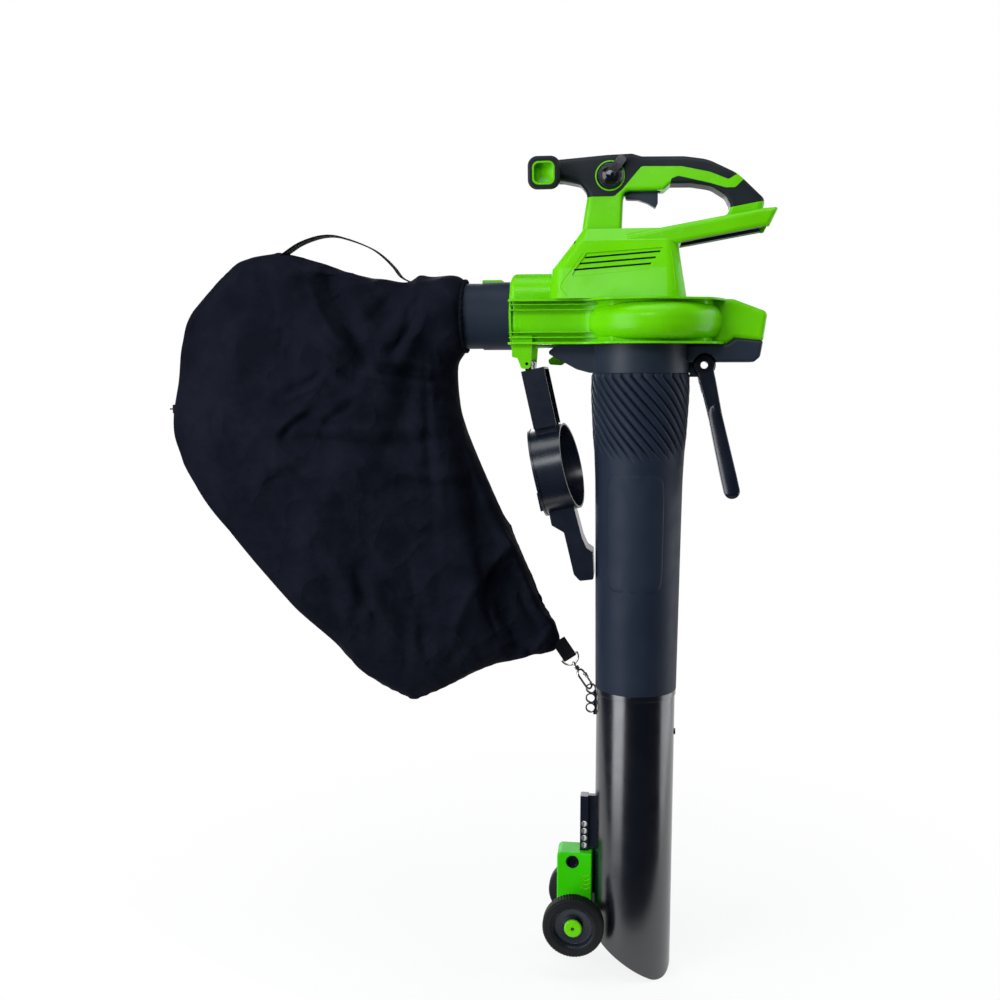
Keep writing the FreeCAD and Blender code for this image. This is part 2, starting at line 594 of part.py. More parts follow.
cavity_half = grip_half - HANDLE_WALL
SWITCH_BOTTOM = -2.6
TRIGGER_OUTLINE = [(-49.6, -10.5, 3), (-10, -9, 1.5), (-8.6, -24, 0), (-8.4, -38.4, 1), (-11.6, -45, 1.5),
                   (-22, -38.6, 12), (-34, -34.4, 12), (-49.6, -33.6, 3)]
trigger = slab_y(TRIGGER_OUTLINE, -TRIGGER_HALF, TRIGGER_HALF)
trigger = rounded_edges(trigger, 1.2, lambda e: abs(abs(e.CenterOfMass.y) - TRIGGER_HALF) < 0.01
                        and e.CenterOfMass.z < -30 and -47 < e.CenterOfMass.x < -13)
trigger = trigger.cut(rod_y(PIVOT_PIN_R + RUN, TRIGGER_PIVOT_X, TRIGGER_PIVOT_Z, -20, 20))
trigger_pin = rod_y(PIVOT_PIN_R, TRIGGER_PIVOT_X, TRIGGER_PIVOT_Z, -TRIGGER_HALF - 7, TRIGGER_HALF + 7)


def coils_y(ring_r, wire_r, x, z, y0, turns):
    """Close-wound coil along Y, as rings of wire that press into each other."""
    pitch = 1.9 * wire_r
    rings = []
    for turn in range(turns):
        rings.append(Part.makeTorus(ring_r, wire_r, V(x, y0 + wire_r + turn * pitch, z), V(0, 1, 0)))
    return rings[0].multiFuse(rings[1:])


trigger_spring = coils_y(3.4, 0.6, TRIGGER_PIVOT_X, TRIGGER_PIVOT_Z, TRIGGER_HALF + GAP, 3)
switch_body = box(-34, -8, -cavity_half, cavity_half, SWITCH_BOTTOM, 10)
switch_plunger = rod_z(2.0, -17, 0, SWITCH_BOTTOM - 1.2, SWITCH_BOTTOM)
trigger_switch = switch_body.fuse(switch_plunger)
save("trigger", trigger)
save("trigger_pin", trigger_pin)
save("trigger_spring", trigger_spring)
save("trigger_switch", trigger_switch)

# Cruise lever: a domed knob with a finger tab, on a short shaft through the left wall
TAB_ANGLE = 52.0
knob_back = -core_half - GAP
knob_face = -grip_half - 5.5
wall_inside = -cavity_half
knob = turned_y([(0, wall_inside + GAP), (DIAL_SHAFT_R, wall_inside + GAP), (DIAL_SHAFT_R, knob_back),
                 (DIAL_R, knob_back), (DIAL_R, knob_face + 2), (DIAL_R - 2, knob_face), (11, knob_face),
                 (9.5, knob_face - 2.5), (5, knob_face - 4), (0, knob_face - 4.5)], DIAL_X, DIAL_Z)
finger_tab = slab_y([(DIAL_X, DIAL_Z - 6.5, 0), (DIAL_X + 28, DIAL_Z - 5.5, 3), (DIAL_X + 28, DIAL_Z + 5.5, 3),
                     (DIAL_X, DIAL_Z + 6.5, 0)], knob_face - 4, knob_face + 1)
finger_tab.rotate(V(DIAL_X, 0, DIAL_Z), V(0, 1, 0), -TAB_ANGLE)
cruise_lever = knob.fuse(finger_tab).removeSplitter()
knob_clip = rod_y(DIAL_SHAFT_R + 3, DIAL_X, DIAL_Z, wall_inside + GAP, wall_inside + GAP + 1.6)
save("cruise_lever", cruise_lever)
save("cruise_lever_clip", knob_clip)

# ---------------------------------------------------------------- battery dock

rails = box(DOCK_FRONT + 2, DOCK_REAR - 2, -RAIL_HALF, RAIL_HALF, DOCK_ROOF - 3, DOCK_ROOF)
for side in (-1, 1):
    foot = sorted((side * (RAIL_HALF - 4), side * RAIL_HALF))
    lip = sorted((side * (RAIL_HALF - 8), side * RAIL_HALF))
    rails = rails.fuse(box(DOCK_FRONT + 2, DOCK_REAR - 2, foot[0], foot[1], 1.5, DOCK_ROOF))
    rails = rails.fuse(box(DOCK_FRONT + 2, DOCK_REAR - 2, lip[0], lip[1], 1.5, 4.5))
contacts = box(DOCK_FRONT + 2, DOCK_FRONT + 18, -17, 17, 5, DOCK_ROOF - 3)
for y in (-11, 0, 11):
    contacts = contacts.fuse(box(DOCK_FRONT + 18, DOCK_FRONT + 28, y - 0.6, y + 0.6, 6.5, DOCK_ROOF - 5))
save("battery_rails", dock_place(rails.removeSplitter()))
save("battery_contacts", dock_place(contacts))

# ---------------------------------------------------------------- motor and fan

MOTOR_R = 30.0
MOTOR_WALL = 2.5
MOTOR_TOP_Z = -94.0
MOUNT_TOP_Z = -154.0
BEARING_R = 11.0
BEARING_WIDTH = 7.0
SHAFT_R = 3.95
ROTOR_R = 25.0
mount_plate = rod_z(MOTOR_R + 5, FAN_X, 0, ROOF_Z, MOUNT_TOP_Z).cut(rod_z(13, FAN_X, 0, ROOF_Z - 1, MOUNT_TOP_Z + 1))
can = rod_z(MOTOR_R, FAN_X, 0, MOUNT_TOP_Z, MOTOR_TOP_Z)
can = can.cut(rod_z(MOTOR_R - MOTOR_WALL, FAN_X, 0, MOUNT_TOP_Z + BEARING_WIDTH + 1, MOTOR_TOP_Z - BEARING_WIDTH - 1))
can = can.cut(rod_z(BEARING_R, FAN_X, 0, MOUNT_TOP_Z - 1, MOTOR_TOP_Z + 1))
bearings = []
for z in (MOUNT_TOP_Z, MOTOR_TOP_Z - BEARING_WIDTH):
    ring = rod_z(BEARING_R, FAN_X, 0, z, z + BEARING_WIDTH)
    bearings.append(ring.cut(rod_z(SHAFT_R + RUN, FAN_X, 0, z - 1, z + BEARING_WIDTH + 1)))
SHAFT_END_Z = -203.5
HUB_BOTTOM_Z = -198.0
IMPELLER_TOP_Z = -170.0
IMPELLER_R = 66.0
BLADES = 11
shaft = rod_z(SHAFT_R, FAN_X, 0, SHAFT_END_Z, MOTOR_TOP_Z - 1)
rotor = rod_z(ROTOR_R, FAN_X, 0, MOUNT_TOP_Z + BEARING_WIDTH + 5, MOTOR_TOP_Z - BEARING_WIDTH - 5)
rotor = rotor.cut(rod_z(SHAFT_R, FAN_X, 0, -200, -90))
impeller = rod_z(IMPELLER_R, FAN_X, 0, IMPELLER_TOP_Z - 2.5, IMPELLER_TOP_Z)
impeller = impeller.fuse(rod_z(13, FAN_X, 0, HUB_BOTTOM_Z, IMPELLER_TOP_Z))
for blade in range(BLADES):
    vane = box(FAN_X + 10, FAN_X + IMPELLER_R - 2, -1.1, 1.1, HUB_BOTTOM_Z - 3, IMPELLER_TOP_Z - 2)
    vane.rotate(V(FAN_X + 10, 0, 0), V(0, 0, 1), 24)
    vane.rotate(V(FAN_X, 0, 0), V(0, 0, 1), 360.0 / BLADES * blade)
    impeller = impeller.fuse(vane)
impeller = impeller.cut(rod_z(SHAFT_R, FAN_X, 0, HUB_BOTTOM_Z - 10, IMPELLER_TOP_Z + 1))
hex_corners = [(FAN_X + 7.5 * math.cos(math.radians(60 * k)), 7.5 * math.sin(math.radians(60 * k)), 0) for k in range(6)]
impeller_nut = slab_z(hex_corners, SHAFT_END_Z + 0.5, HUB_BOTTOM_Z)
impeller_nut = impeller_nut.cut(rod_z(SHAFT_R, FAN_X, 0, SHAFT_END_Z - 1, HUB_BOTTOM_Z + 1))
BOARD_Z = -90.0
board = box(FAN_X - 34, FAN_X + 30, -21, 21, BOARD_Z, BOARD_Z + 1.6)
for x, y, size in ((-12, 8, 7), (10, -9, 5), (-20, -11, 4)):
    board = board.fuse(rod_z(size, FAN_X + x, y, BOARD_Z + 1.6, BOARD_Z + 5))
spacers = []
for angle in (45, 135, 225, 315):
    x = FAN_X + 24 * math.cos(math.radians(angle))
    y = 24 * math.sin(math.radians(angle))
    spacers.append(rod_z(3, x, y, MOTOR_TOP_Z, BOARD_Z))
save("motor_mount", mount_plate)
save("motor_can", can)
save("motor_bearings", Part.makeCompound(bearings))
save("motor_shaft", shaft)
save("motor_rotor", rotor)
save("impeller", impeller.removeSplitter())
save("impeller_nut", impeller_nut)
save("control_board", board)
save("board_spacers", Part.makeCompound(spacers))

# ---------------------------------------------------------------- lower housing

plate = slab_z(inset_outline(flange_outline, CORE_STEP + WALL + SLIP), CASE_FLOOR_Z, CASE_FLOOR_Z + 3)
plate = plate.common(box(-112 + SLIP, VOLUTE_X + VOLUTE_R - WALL - SLIP, -90, 90, CASE_FLOOR_Z, CASE_FLOOR_Z + 3))
collar = rod_z(COLLAR_R, FAN_X, 0, COLLAR_BOTTOM_Z, CASE_FLOOR_Z)
base = slab_y(BASE_OUTLINE, -BLOCK_HALF, BLOCK_HALF)
base = rounded_edges(base, 4.0, lambda e: abs(abs(e.CenterOfMass.y) - BLOCK_HALF) < 0.01
                     and e.CenterOfMass.z < BASE_OUTLINE[-1][1] + 1 and e.Length > 40)
BEAK_HALF = 24.0
beak_outline = [(-146.5, -226.5, 3.5), (-137, -218.6, 6), (-128, CASE_FLOOR_Z - 0.4, 0),
                (FAN_X - 40, CASE_FLOOR_Z - 0.4, 0), (FAN_X - 40, COLLAR_BOTTOM_Z, 0),
                (-91, COLLAR_BOTTOM_Z, 3), (-108, -247.5, 12)]
beak = slab_y(beak_outline, -BEAK_HALF, BEAK_HALF).cut(duct(-GAP, DUCT_FACE_X, -60))
lug = rod_y(LEVER_EYE_R + 1.4, LEVER_X, LEVER_Z, -LUG_HALF, LUG_HALF)
lug = lug.fuse(box(FAN_X + COLLAR_R - 4, LEVER_X, -LUG_HALF, LUG_HALF, LEVER_Z - 15, LEVER_Z + 10))
lug = lug.cut(rod_z(COLLAR_R + GAP, FAN_X, 0, -300, COLLAR_BOTTOM_Z))
eye_pocket = rod_y(LEVER_EYE_R + 1.4, LEVER_X, LEVER_Z, LUG_HALF, BLOCK_HALF + 5)
lower = fuse([collar, base, beak, plate]).cut([eye_pocket, mirrored(eye_pocket)]).fuse(lug)
INLET_R = 47.0
lower = lower.cut(rod_z(COLLAR_BORE_R, FAN_X, 0, COLLAR_BOTTOM_Z - 1, CASE_FLOOR_Z - WALL))
lower = lower.cut(rod_z(INLET_R, FAN_X, 0, COLLAR_BOTTOM_Z - 1, CASE_FLOOR_Z + 4))
base_hollow = slab_y(inset_outline(BASE_OUTLINE, WALL), -BLOCK_HALF + WALL, BLOCK_HALF - WALL)
lower = lower.cut(base_hollow.common(box(LEVER_X + LEVER_EYE_R + 4, 140, -60, 60, -250, -200)))
lower = lower.cut(rod_y(EYELET_R + RUN, LEVER_X, LEVER_Z, -LUG_HALF - 1, LUG_HALF + 1)).removeSplitter()
save("lower_housing", lower)

# ---------------------------------------------------------------- outlet nozzle

nozzle = rod_x(NOZZLE_SMALL_R, NOZZLE_Y, NOZZLE_Z, NOZZLE_END_X, NOZZLE_STEP_X)
nozzle = nozzle.fuse(rod_x(NOZZLE_R, NOZZLE_Y, NOZZLE_Z, NOZZLE_STEP_X, DUCT_FACE_X))
nozzle = nozzle.fuse(rod_x(spigot_r, NOZZLE_Y, NOZZLE_Z, DUCT_FACE_X, DUCT_FACE_X + SPIGOT))
nozzle_bore_r = spigot_r - NOZZLE_WALL
nozzle = nozzle.cut(rod_x(nozzle_bore_r, NOZZLE_Y, NOZZLE_Z, NOZZLE_END_X - 1, DUCT_FACE_X + SPIGOT + 1))
LATCH_X0 = NOZZLE_STEP_X - 3
LATCH_X1 = DUCT_FACE_X - 14
LATCH_Y = NOZZLE_Y + 9
LATCH_HALF = 6.0
LATCH_RISE = 3.6
latch_top = NOZZLE_Z + NOZZLE_R + LATCH_RISE
flange_half = LATCH_HALF + 3
latch_seat = NOZZLE_Z + math.sqrt(nozzle_bore_r ** 2 - (LATCH_Y + flange_half - NOZZLE_Y) ** 2) - GAP
nozzle = nozzle.cut(box(LATCH_X0 - GAP, LATCH_X1 + GAP, LATCH_Y - LATCH_HALF - GAP, LATCH_Y + LATCH_HALF + GAP,
                        latch_seat - 5, latch_top + 5)).removeSplitter()
latch = box(LATCH_X0, LATCH_X1, LATCH_Y - LATCH_HALF, LATCH_Y + LATCH_HALF, latch_seat, latch_top)
latch = rounded_edges(latch, 2.0, lambda e: e.CenterOfMass.z > latch_top - 0.01)
latch = latch.fuse(box(LATCH_X0 - 3, LATCH_X1 + 3, LATCH_Y - flange_half, LATCH_Y + flange_half,
                       latch_seat - 2, latch_seat)).removeSplitter()
save("nozzle_tube", nozzle)
save("nozzle_latch", latch)

# ---------------------------------------------------------------- suction tubes


def tube_shell(points, wall):
    """Revolved tube wall through (radius, level) points, top first, of even thickness."""
    outside = Part.BSplineCurve()
    outside.interpolate([V(FAN_X + r, 0, z) for r, z in points])
    inside = Part.BSplineCurve()
    inside.interpolate([V(FAN_X + r - wall, 0, z) for r, z in points])
    (top_r, top_z), (end_r, end_z) = points[0], points[-1]
    top = Part.LineSegment(V(FAN_X + top_r - wall, 0, top_z), V(FAN_X + top_r, 0, top_z))
    end = Part.LineSegment(V(FAN_X + end_r, 0, end_z), V(FAN_X + end_r - wall, 0, end_z))
    face = Part.Face(Part.Wire([outside.toShape(), end.toShape(), inside.toShape(), top.toShape()]))
    return face.revolve(V(FAN_X, 0, 0), V(0, 0, 1), 360)


def pipe_z(outer_r, inner_r, z0, z1):
    return rod_z(outer_r, FAN_X, 0, z0, z1).cut(rod_z(inner_r, FAN_X, 0, z0 - 1, z1 + 1))


tube_top_z = COLLAR_BOTTOM_Z - GAP
upper_points = [(COLLAR_R, tube_top_z), (COLLAR_R - 0.4, SHOULDER_Z), (UPPER_MID_R, UPPER_MID_Z),
                (UPPER_MID_R - 1.4, UPPER_MID_Z - 60), (UPPER_END_R, SEAM_Z)]
upper_tube = tube_shell(upper_points, TUBE_WALL)
upper_tube = upper_tube.fuse(pipe_z(COLLAR_R - 1, COLLAR_BORE_R - SLIP - TUBE_WALL, tube_top_z - 5, tube_top_z))
upper_tube = upper_tube.fuse(pipe_z(COLLAR_BORE_R - SLIP, COLLAR_BORE_R - SLIP - TUBE_WALL, tube_top_z - 5,
                                    tube_top_z + SPIGOT_LONG - 6)).removeSplitter()
lower_spigot_r = UPPER_END_R - TUBE_WALL - SLIP
lower_top_z = SEAM_Z - GAP
lower_tube = fuse([pipe_z(LOWER_R, LOWER_R - TUBE_WALL, TUBE_END_Z, lower_top_z),
                   pipe_z(BEAD_R, LOWER_R - TUBE_WALL, lower_top_z - BEAD_HEIGHT, lower_top_z),
                   pipe_z(lower_spigot_r, lower_spigot_r - TUBE_WALL, lower_top_z - 6, lower_top_z + SPIGOT_LONG)])
cut_away = slab_y([(FAN_X - LOWER_R - 12, CUT_START_Z, 0), (5, TUBE_END_Z, 30), (19, TUBE_END_Z, 10),
                   (34, TUBE_END_Z + 22, 0), (60, TUBE_END_Z + 22, 0), (60, TUBE_END_Z - 60, 0),
                   (FAN_X - LOWER_R - 12, TUBE_END_Z - 60, 0)], -80, 80)
lower_tube = lower_tube.cut(cut_away)
PIP_DROP = 61.0           # pip under the tubes' seam
PIP_Z = SEAM_Z - PIP_DROP
pip = rod_x(4.2, 0, PIP_Z, FAN_X + LOWER_R - 2, FAN_X + LOWER_R + 1.8)
rib_x = FAN_X - LOWER_R + 1
strip_parts = [box(HOOK_X + 3.5, rib_x, -HOOK_THICK / 2, HOOK_THICK / 2, HOOK_Z - HOOK_PITCH * (HOOK_COUNT - 1) - 9,
                   lower_top_z - BEAD_HEIGHT + 4)]
for index in range(HOOK_COUNT):
    strip_parts.append(rod_y(HOOK_RING_R, HOOK_X, HOOK_Z - HOOK_PITCH * index, -HOOK_THICK / 2, HOOK_THICK / 2))
strip = fuse(strip_parts).cut(rod_z(UPPER_END_R + GAP, FAN_X, 0, lower_top_z, lower_top_z + 20))
for index in range(HOOK_COUNT):
    strip = strip.cut(rod_y(HOOK_HOLE_R, HOOK_X, HOOK_Z - HOOK_PITCH * index, -HOOK_THICK, HOOK_THICK))
strip = strip.cut(rod_z(LOWER_R - 1, FAN_X, 0, -800, -600))
lower_tube = fuse([lower_tube, strip, pip.cut(rod_z(LOWER_R - 1, FAN_X, 0, -800, -600))])
save("upper_tube", upper_tube)
save("lower_tube", lower_tube)

# ---------------------------------------------------------------- inlet cover

ring_in_t = RING_IN_T
lean = math.tan(math.radians(RING_SLANT))


def cover_place(shape):
    """From the cover's own frame (+X to the tube, -Z along it) to its hanging place."""
    shape.rotate(V(0, 0, 0), V(0, 1, 0), -COVER_ANGLE)
    shape.translate(V(HINGE_X, 0, HINGE_Z))
    return shape


ring_z0 = -RING_S
neck_end = ring_z0 + 38
arm = box(COVER_OUT_T, COVER_IN_T, -COVER_HALF, COVER_HALF, -COVER_ARM_S, -8)
arm = arm.cut(box(COVER_OUT_T + COVER_WALL, COVER_IN_T + 1, -COVER_HALF + COVER_WALL, COVER_HALF - COVER_WALL,
                  -COVER_ARM_S - 1, -8 - COVER_WALL))
neck = box(COVER_OUT_T, COVER_IN_T - 2, -COVER_NECK_HALF, COVER_NECK_HALF, neck_end, -COVER_ARM_S + 6)
neck = neck.cut(box(COVER_OUT_T + COVER_WALL, COVER_IN_T, -COVER_NECK_HALF + COVER_WALL,
                    COVER_NECK_HALF - COVER_WALL, neck_end - 1, -COVER_ARM_S + 7))
knuckle = rod_y(5.5, 0, 0, -COVER_HALF, COVER_HALF).fuse(box(-4, 4, -COVER_HALF, COVER_HALF, -9, 0))
ring_outer = rod_x(RING_R, 0, ring_z0, RING_OUT_T, ring_in_t + RING_R * lean)
ring_outer = ring_outer.fuse(rod_x(RING_R + 1.8, 0, ring_z0, RING_OUT_T, RING_OUT_T + 3))
rim_cut = Part.Face(Part.makePolygon([V(ring_in_t - 80 * lean, -80, 0), V(ring_in_t + 80 * lean, 80, 0),
                                      V(ring_in_t + 80, 80, 0), V(ring_in_t + 80, -80, 0),
                                      V(ring_in_t - 80 * lean, -80, 0)]))
rim_cut = rim_cut.extrude(V(0, 0, -RING_S - RING_R - 2.5))
FOOT_OUTLINE = [(-15.5, -188, 0), (-16, -211.5, 3), (-2.2, -224, 4), (-1.4, -281, 6), (4.5, -FOOT_END_S + 1.7, 4),
                (22.5, -FOOT_END_S, 2.5), (29, -257, 2.5), (22.4, -250, 3), (19.4, -236, 4), (17.5, -188, 0)]
foot_block = slab_y(FOOT_OUTLINE, -FOOT_HALF, FOOT_HALF)
foot_hollow = slab_y(inset_outline(FOOT_OUTLINE, COVER_WALL), -FOOT_HALF + COVER_WALL, FOOT_HALF + 1)
foot_block = foot_block.cut(foot_hollow.common(box(-20, 60, -60, 60, -400, -RING_S - RING_R)))
tab = box(RING_OUT_T - 6, RING_OUT_T + 1, -14, 14, ring_z0 - 50, ring_z0 - 25)
cover = fuse([arm, neck, knuckle, ring_outer, foot_block, tab])
cover = cover.cut(rod_x(RING_R - COVER_WALL, 0, ring_z0, RING_OUT_T + COVER_WALL, 80)).cut(rim_cut)
GRILLE_PITCH = 11.0
for row in range(-4, 5):
    reach = math.sqrt((RING_R - 6) ** 2 - (row * GRILLE_PITCH) ** 2)
    cover = cover.cut(box(RING_OUT_T - 1, RING_OUT_T + COVER_WALL + 1, -reach, reach,
                          ring_z0 + row * GRILLE_PITCH - 2.6, ring_z0 + row * GRILLE_PITCH + 2.6))
cover = cover.cut(rod_y(HINGE_PIN_R + RUN, 0, 0, -COVER_HALF - 1, COVER_HALF + 1))
cover = cover.cut(box(-7, 7, -SPRING_SEAT, SPRING_SEAT, -7, 7)).removeSplitter()
cover_spring = coils_y(HINGE_PIN_R + 1.3, 0.7, HINGE_X, HINGE_Z, -SPRING_SEAT + GAP, 10)
hinge_pin = rod_y(HINGE_PIN_R, HINGE_X, HINGE_Z, -COVER_HALF - GAP - EAR_THICK, COVER_HALF + GAP + EAR_THICK)
save("inlet_cover", cover_place(cover))
save("cover_hinge_pin", hinge_pin)
save("cover_spring", cover_spring)

# ---------------------------------------------------------------- clamp lever

end_r = LEVER_WIDTH / 2 - 0.4
waist = LEVER_WAIST / 2
lever_outline = [(-LEVER_WIDTH / 2, 0, 0), (-LEVER_WIDTH / 2, -20, 12), (-waist, -LEVER_WAIST_S, 60),
                 (-end_r, -LEVER_LENGTH + 30, 60), (-end_r, -LEVER_LENGTH, end_r - 0.3),
                 (end_r, -LEVER_LENGTH, end_r - 0.3), (end_r, -LEVER_LENGTH + 30, 60),
                 (waist, -LEVER_WAIST_S, 60), (LEVER_WIDTH / 2, -20, 12), (LEVER_WIDTH / 2, 0, 0)]
lever = slab_y(lever_outline, -LEVER_HALF, LEVER_HALF).fuse(rod_y(LEVER_EYE_R, 0, 0, -LEVER_HALF, LEVER_HALF))
lever = rounded_edges(lever.removeSplitter(), 2.5, lambda e: abs(abs(e.CenterOfMass.y) - LEVER_HALF) < 0.01)
lever = lever.cut(box(-30, 30, -LUG_HALF - GAP, LUG_HALF + GAP, -FORK_LENGTH, 30))
lever = lever.cut(rod_y(EYELET_R, 0, 0, -LEVER_HALF - 1, LEVER_HALF + 1))
lever.rotate(V(0, 0, 0), V(0, 1, 0), -LEVER_ANGLE)
lever.translate(V(LEVER_X, 0, LEVER_Z))
eyelet = rod_y(EYELET_R, LEVER_X, LEVER_Z, -LEVER_HALF, LEVER_HALF)
for y in (-LEVER_HALF - 1.2, LEVER_HALF):
    eyelet = eyelet.fuse(rod_y(EYELET_R + 2.6, LEVER_X, LEVER_Z, y, y + 1.2))
eyelet = eyelet.cut(rod_y(EYELET_HOLE_R, LEVER_X, LEVER_Z, -30, 30)).removeSplitter()
save("clamp_lever", lever)
save("lever_eyelet", eyelet)

# ---------------------------------------------------------------- wheeled foot

hole_x = (RACK_FRONT_X + RACK_NECK_X) / 2
rack = box(RACK_FRONT_X, RACK_NECK_X, -RACK_HALF, RACK_HALF, RACK_BOTTOM_Z, RACK_TOP_Z)
rack = rack.fuse(box(RACK_NECK_X, FAN_X - LOWER_R + 4, -RACK_NECK_HALF, RACK_NECK_HALF, RACK_BOTTOM_Z, RACK_TOP_Z))
for index in range(RACK_HOLES):
    rack = rack.cut(rod_y(RACK_HOLE_R, hole_x, RACK_FIRST_Z - RACK_PITCH * index, -20, 20))
rack = rack.cut(rod_z(LOWER_R, FAN_X, 0, TUBE_END_Z, SEAM_Z)).removeSplitter()
carriage_outline = [(CARRIAGE_FRONT_X, CARRIAGE_TOP_Z, 6), (CARRIAGE_REAR_X, CARRIAGE_TOP_Z, 2),
                    (CARRIAGE_REAR_X, WHEEL_Z + 10, 4), (WHEEL_X + 13, WHEEL_Z - 13, 8),
                    (WHEEL_X - 13, WHEEL_Z - 13, 10), (CARRIAGE_FRONT_X, WHEEL_Z + 10, 8)]
carriage = slab_y(carriage_outline, -CARRIAGE_HALF, CARRIAGE_HALF)
carriage = rounded_edges(carriage, 2.0, lambda e: abs(abs(e.CenterOfMass.y) - CARRIAGE_HALF) < 0.01)
carriage = carriage.cut(box(RACK_FRONT_X - GAP, RACK_NECK_X + GAP, -RACK_HALF - GAP, RACK_HALF + GAP, -1100, -800))
carriage = carriage.cut(box(RACK_NECK_X, CARRIAGE_REAR_X + 9, -RACK_NECK_HALF - GAP, RACK_NECK_HALF + GAP, -1100, -800))
stem_r = 4.0
step_y = -1.0
arm_y = RACK_HALF + 1.4
head_back_y = step_y - BUTTON_TRAVEL - 3.2
carriage = carriage.cut(rod_y(BUTTON_R + GAP, BUTTON_X, BUTTON_Z, -CARRIAGE_HALF - 1, step_y))
carriage = carriage.cut(rod_y(stem_r + GAP, BUTTON_X, BUTTON_Z, step_y - 1, CARRIAGE_HALF))
carriage = carriage.cut(box(BUTTON_X - 5, hole_x + 4.5, arm_y - GAP, CARRIAGE_HALF + 1, BUTTON_Z - 4.8, BUTTON_Z + 4.8))
carriage = carriage.cut(rod_y(RACK_HOLE_R - 0.6 + GAP, hole_x, BUTTON_Z, RACK_HALF, arm_y))
carriage = carriage.cut(rod_y(AXLE_R, WHEEL_X, WHEEL_Z, -CARRIAGE_HALF - 1, CARRIAGE_HALF + 1)).removeSplitter()
button = rod_y(BUTTON_R, BUTTON_X, BUTTON_Z, -CARRIAGE_HALF - 0.4, head_back_y)
button = button.cut(rod_y(BUTTON_R - 2.2, BUTTON_X, BUTTON_Z, -CARRIAGE_HALF - 1, -CARRIAGE_HALF + 1.6))
button = button.fuse(rod_y(stem_r, BUTTON_X, BUTTON_Z, head_back_y, arm_y + 2))
button = button.fuse(box(BUTTON_X - 4, hole_x + 3.5, arm_y, arm_y + 2.6, BUTTON_Z - 4, BUTTON_Z + 4))
button = button.fuse(rod_y(RACK_HOLE_R - 0.6, hole_x, BUTTON_Z, RACK_HALF + 0.5, arm_y + 1)).removeSplitter()
button_spring = coils_y(6.2, 0.75, BUTTON_X, BUTTON_Z, step_y - 3.0, 2)
hub_bore = AXLE_R + RUN
hub_out = TRACK_OUT - 3.6
wheel_in = TRACK_OUT - TYRE_WIDTH
axle = rod_y(AXLE_R, WHEEL_X, WHEEL_Z, -hub_out - 0.4, hub_out + 0.4)
spacer = rod_y(AXLE_R + 2.8, WHEEL_X, WHEEL_Z, CARRIAGE_HALF, wheel_in - GAP)
spacer = spacer.cut(rod_y(AXLE_R, WHEEL_X, WHEEL_Z, 0, TRACK_OUT))
tyre_in_r = WHEEL_R - 13.5
disc_profile = [(hub_bore, hub_out), (HUB_CAP_R + 0.6, hub_out), (HUB_CAP_R + 2, hub_out - 4.4),
                (tyre_in_r - 3.5, hub_out - 3.4), (tyre_in_r, TRACK_OUT - 1.2), (tyre_in_r, wheel_in + 1.2),
                (HUB_CAP_R + 4, wheel_in + 3), (HUB_CAP_R + 3, wheel_in), (hub_bore, wheel_in)]
tyre_profile = [(tyre_in_r, TRACK_OUT - 1.2), (tyre_in_r + 2.5, TRACK_OUT), (WHEEL_R - 4, TRACK_OUT),
                (WHEEL_R - 1.2, TRACK_OUT - 1), (WHEEL_R, TRACK_OUT - 3.6), (WHEEL_R, wheel_in + 3.6),
                (WHEEL_R - 1.2, wheel_in + 1), (WHEEL_R - 4, wheel_in), (tyre_in_r + 2.5, wheel_in),
                (tyre_in_r, wheel_in + 1.2)]
cap_profile = [(HUB_HOLE_R, hub_out + 0.8), (HUB_CAP_R, hub_out + 0.8), (HUB_CAP_R, TRACK_OUT - 0.4),
               (HUB_CAP_R - 1.5, TRACK_OUT + 0.4), (HUB_HOLE_R, TRACK_OUT + 0.6)]
cap_skirt = [(HUB_CAP_R - 2, hub_out), (HUB_CAP_R, hub_out), (HUB_CAP_R, hub_out + 0.8), (HUB_CAP_R - 2, hub_out + 0.8)]
wheel_disc = turned_y(disc_profile, WHEEL_X, WHEEL_Z)
tyre = turned_y(tyre_profile, WHEEL_X, WHEEL_Z)
hub_cap = turned_y(cap_profile, WHEEL_X, WHEEL_Z).fuse(turned_y(cap_skirt, WHEEL_X, WHEEL_Z)).removeSplitter()
save("wheel_rack", rack)
save("wheel_carriage", carriage)
save("height_button", button)
save("button_spring", button_spring)
save("axle", axle)
save("axle_spacers", Part.makeCompound([spacer, mirrored(spacer)]))
for side, place in (("right", lambda shape: shape), ("left", mirrored)):
    save("tyre_" + side, place(tyre))
    save("wheel_disc_" + side, place(wheel_disc))
    save("hub_cap_" + side, place(hub_cap))

# ---------------------------------------------------------------- leaf bag


def bag_loft(inset):
    """Bag body through upright-stacked ellipses."""
    wires = []
    for z, left, right, half in BAG_SECTIONS[2:-2] if inset > 0 else BAG_SECTIONS:
        middle = (left + right) / 2
        reach = (right - left) / 2 - inset
        curve = Part.Ellipse(V(middle, NOZZLE_Y, z), reach, half - inset)
        wires.append(Part.Wire(curve.toShape()))
    return Part.makeLoft(wires, True, True)


CUFF_R = 51.0
CUFF_X0 = -288.0
CUFF_X1 = -264.0
band_r = NOZZLE_SMALL_R + GAP
cuff = rod_x(CUFF_R, NOZZLE_Y, NOZZLE_Z, CUFF_X0, CUFF_X1)
cuff = cuff.cut(rod_x(band_r, NOZZLE_Y, NOZZLE_Z, CUFF_X0 - 1, CUFF_X1 + 1))
bag = bag_loft(0).cut(bag_loft(BAG_SKIN)).cut(rod_x(CUFF_R + SLIP, NOZZLE_Y, NOZZLE_Z, NOZZLE_END_X - 8, CUFF_X1 + 40))
save("leaf_bag", bag)
save("bag_cuff", cuff)


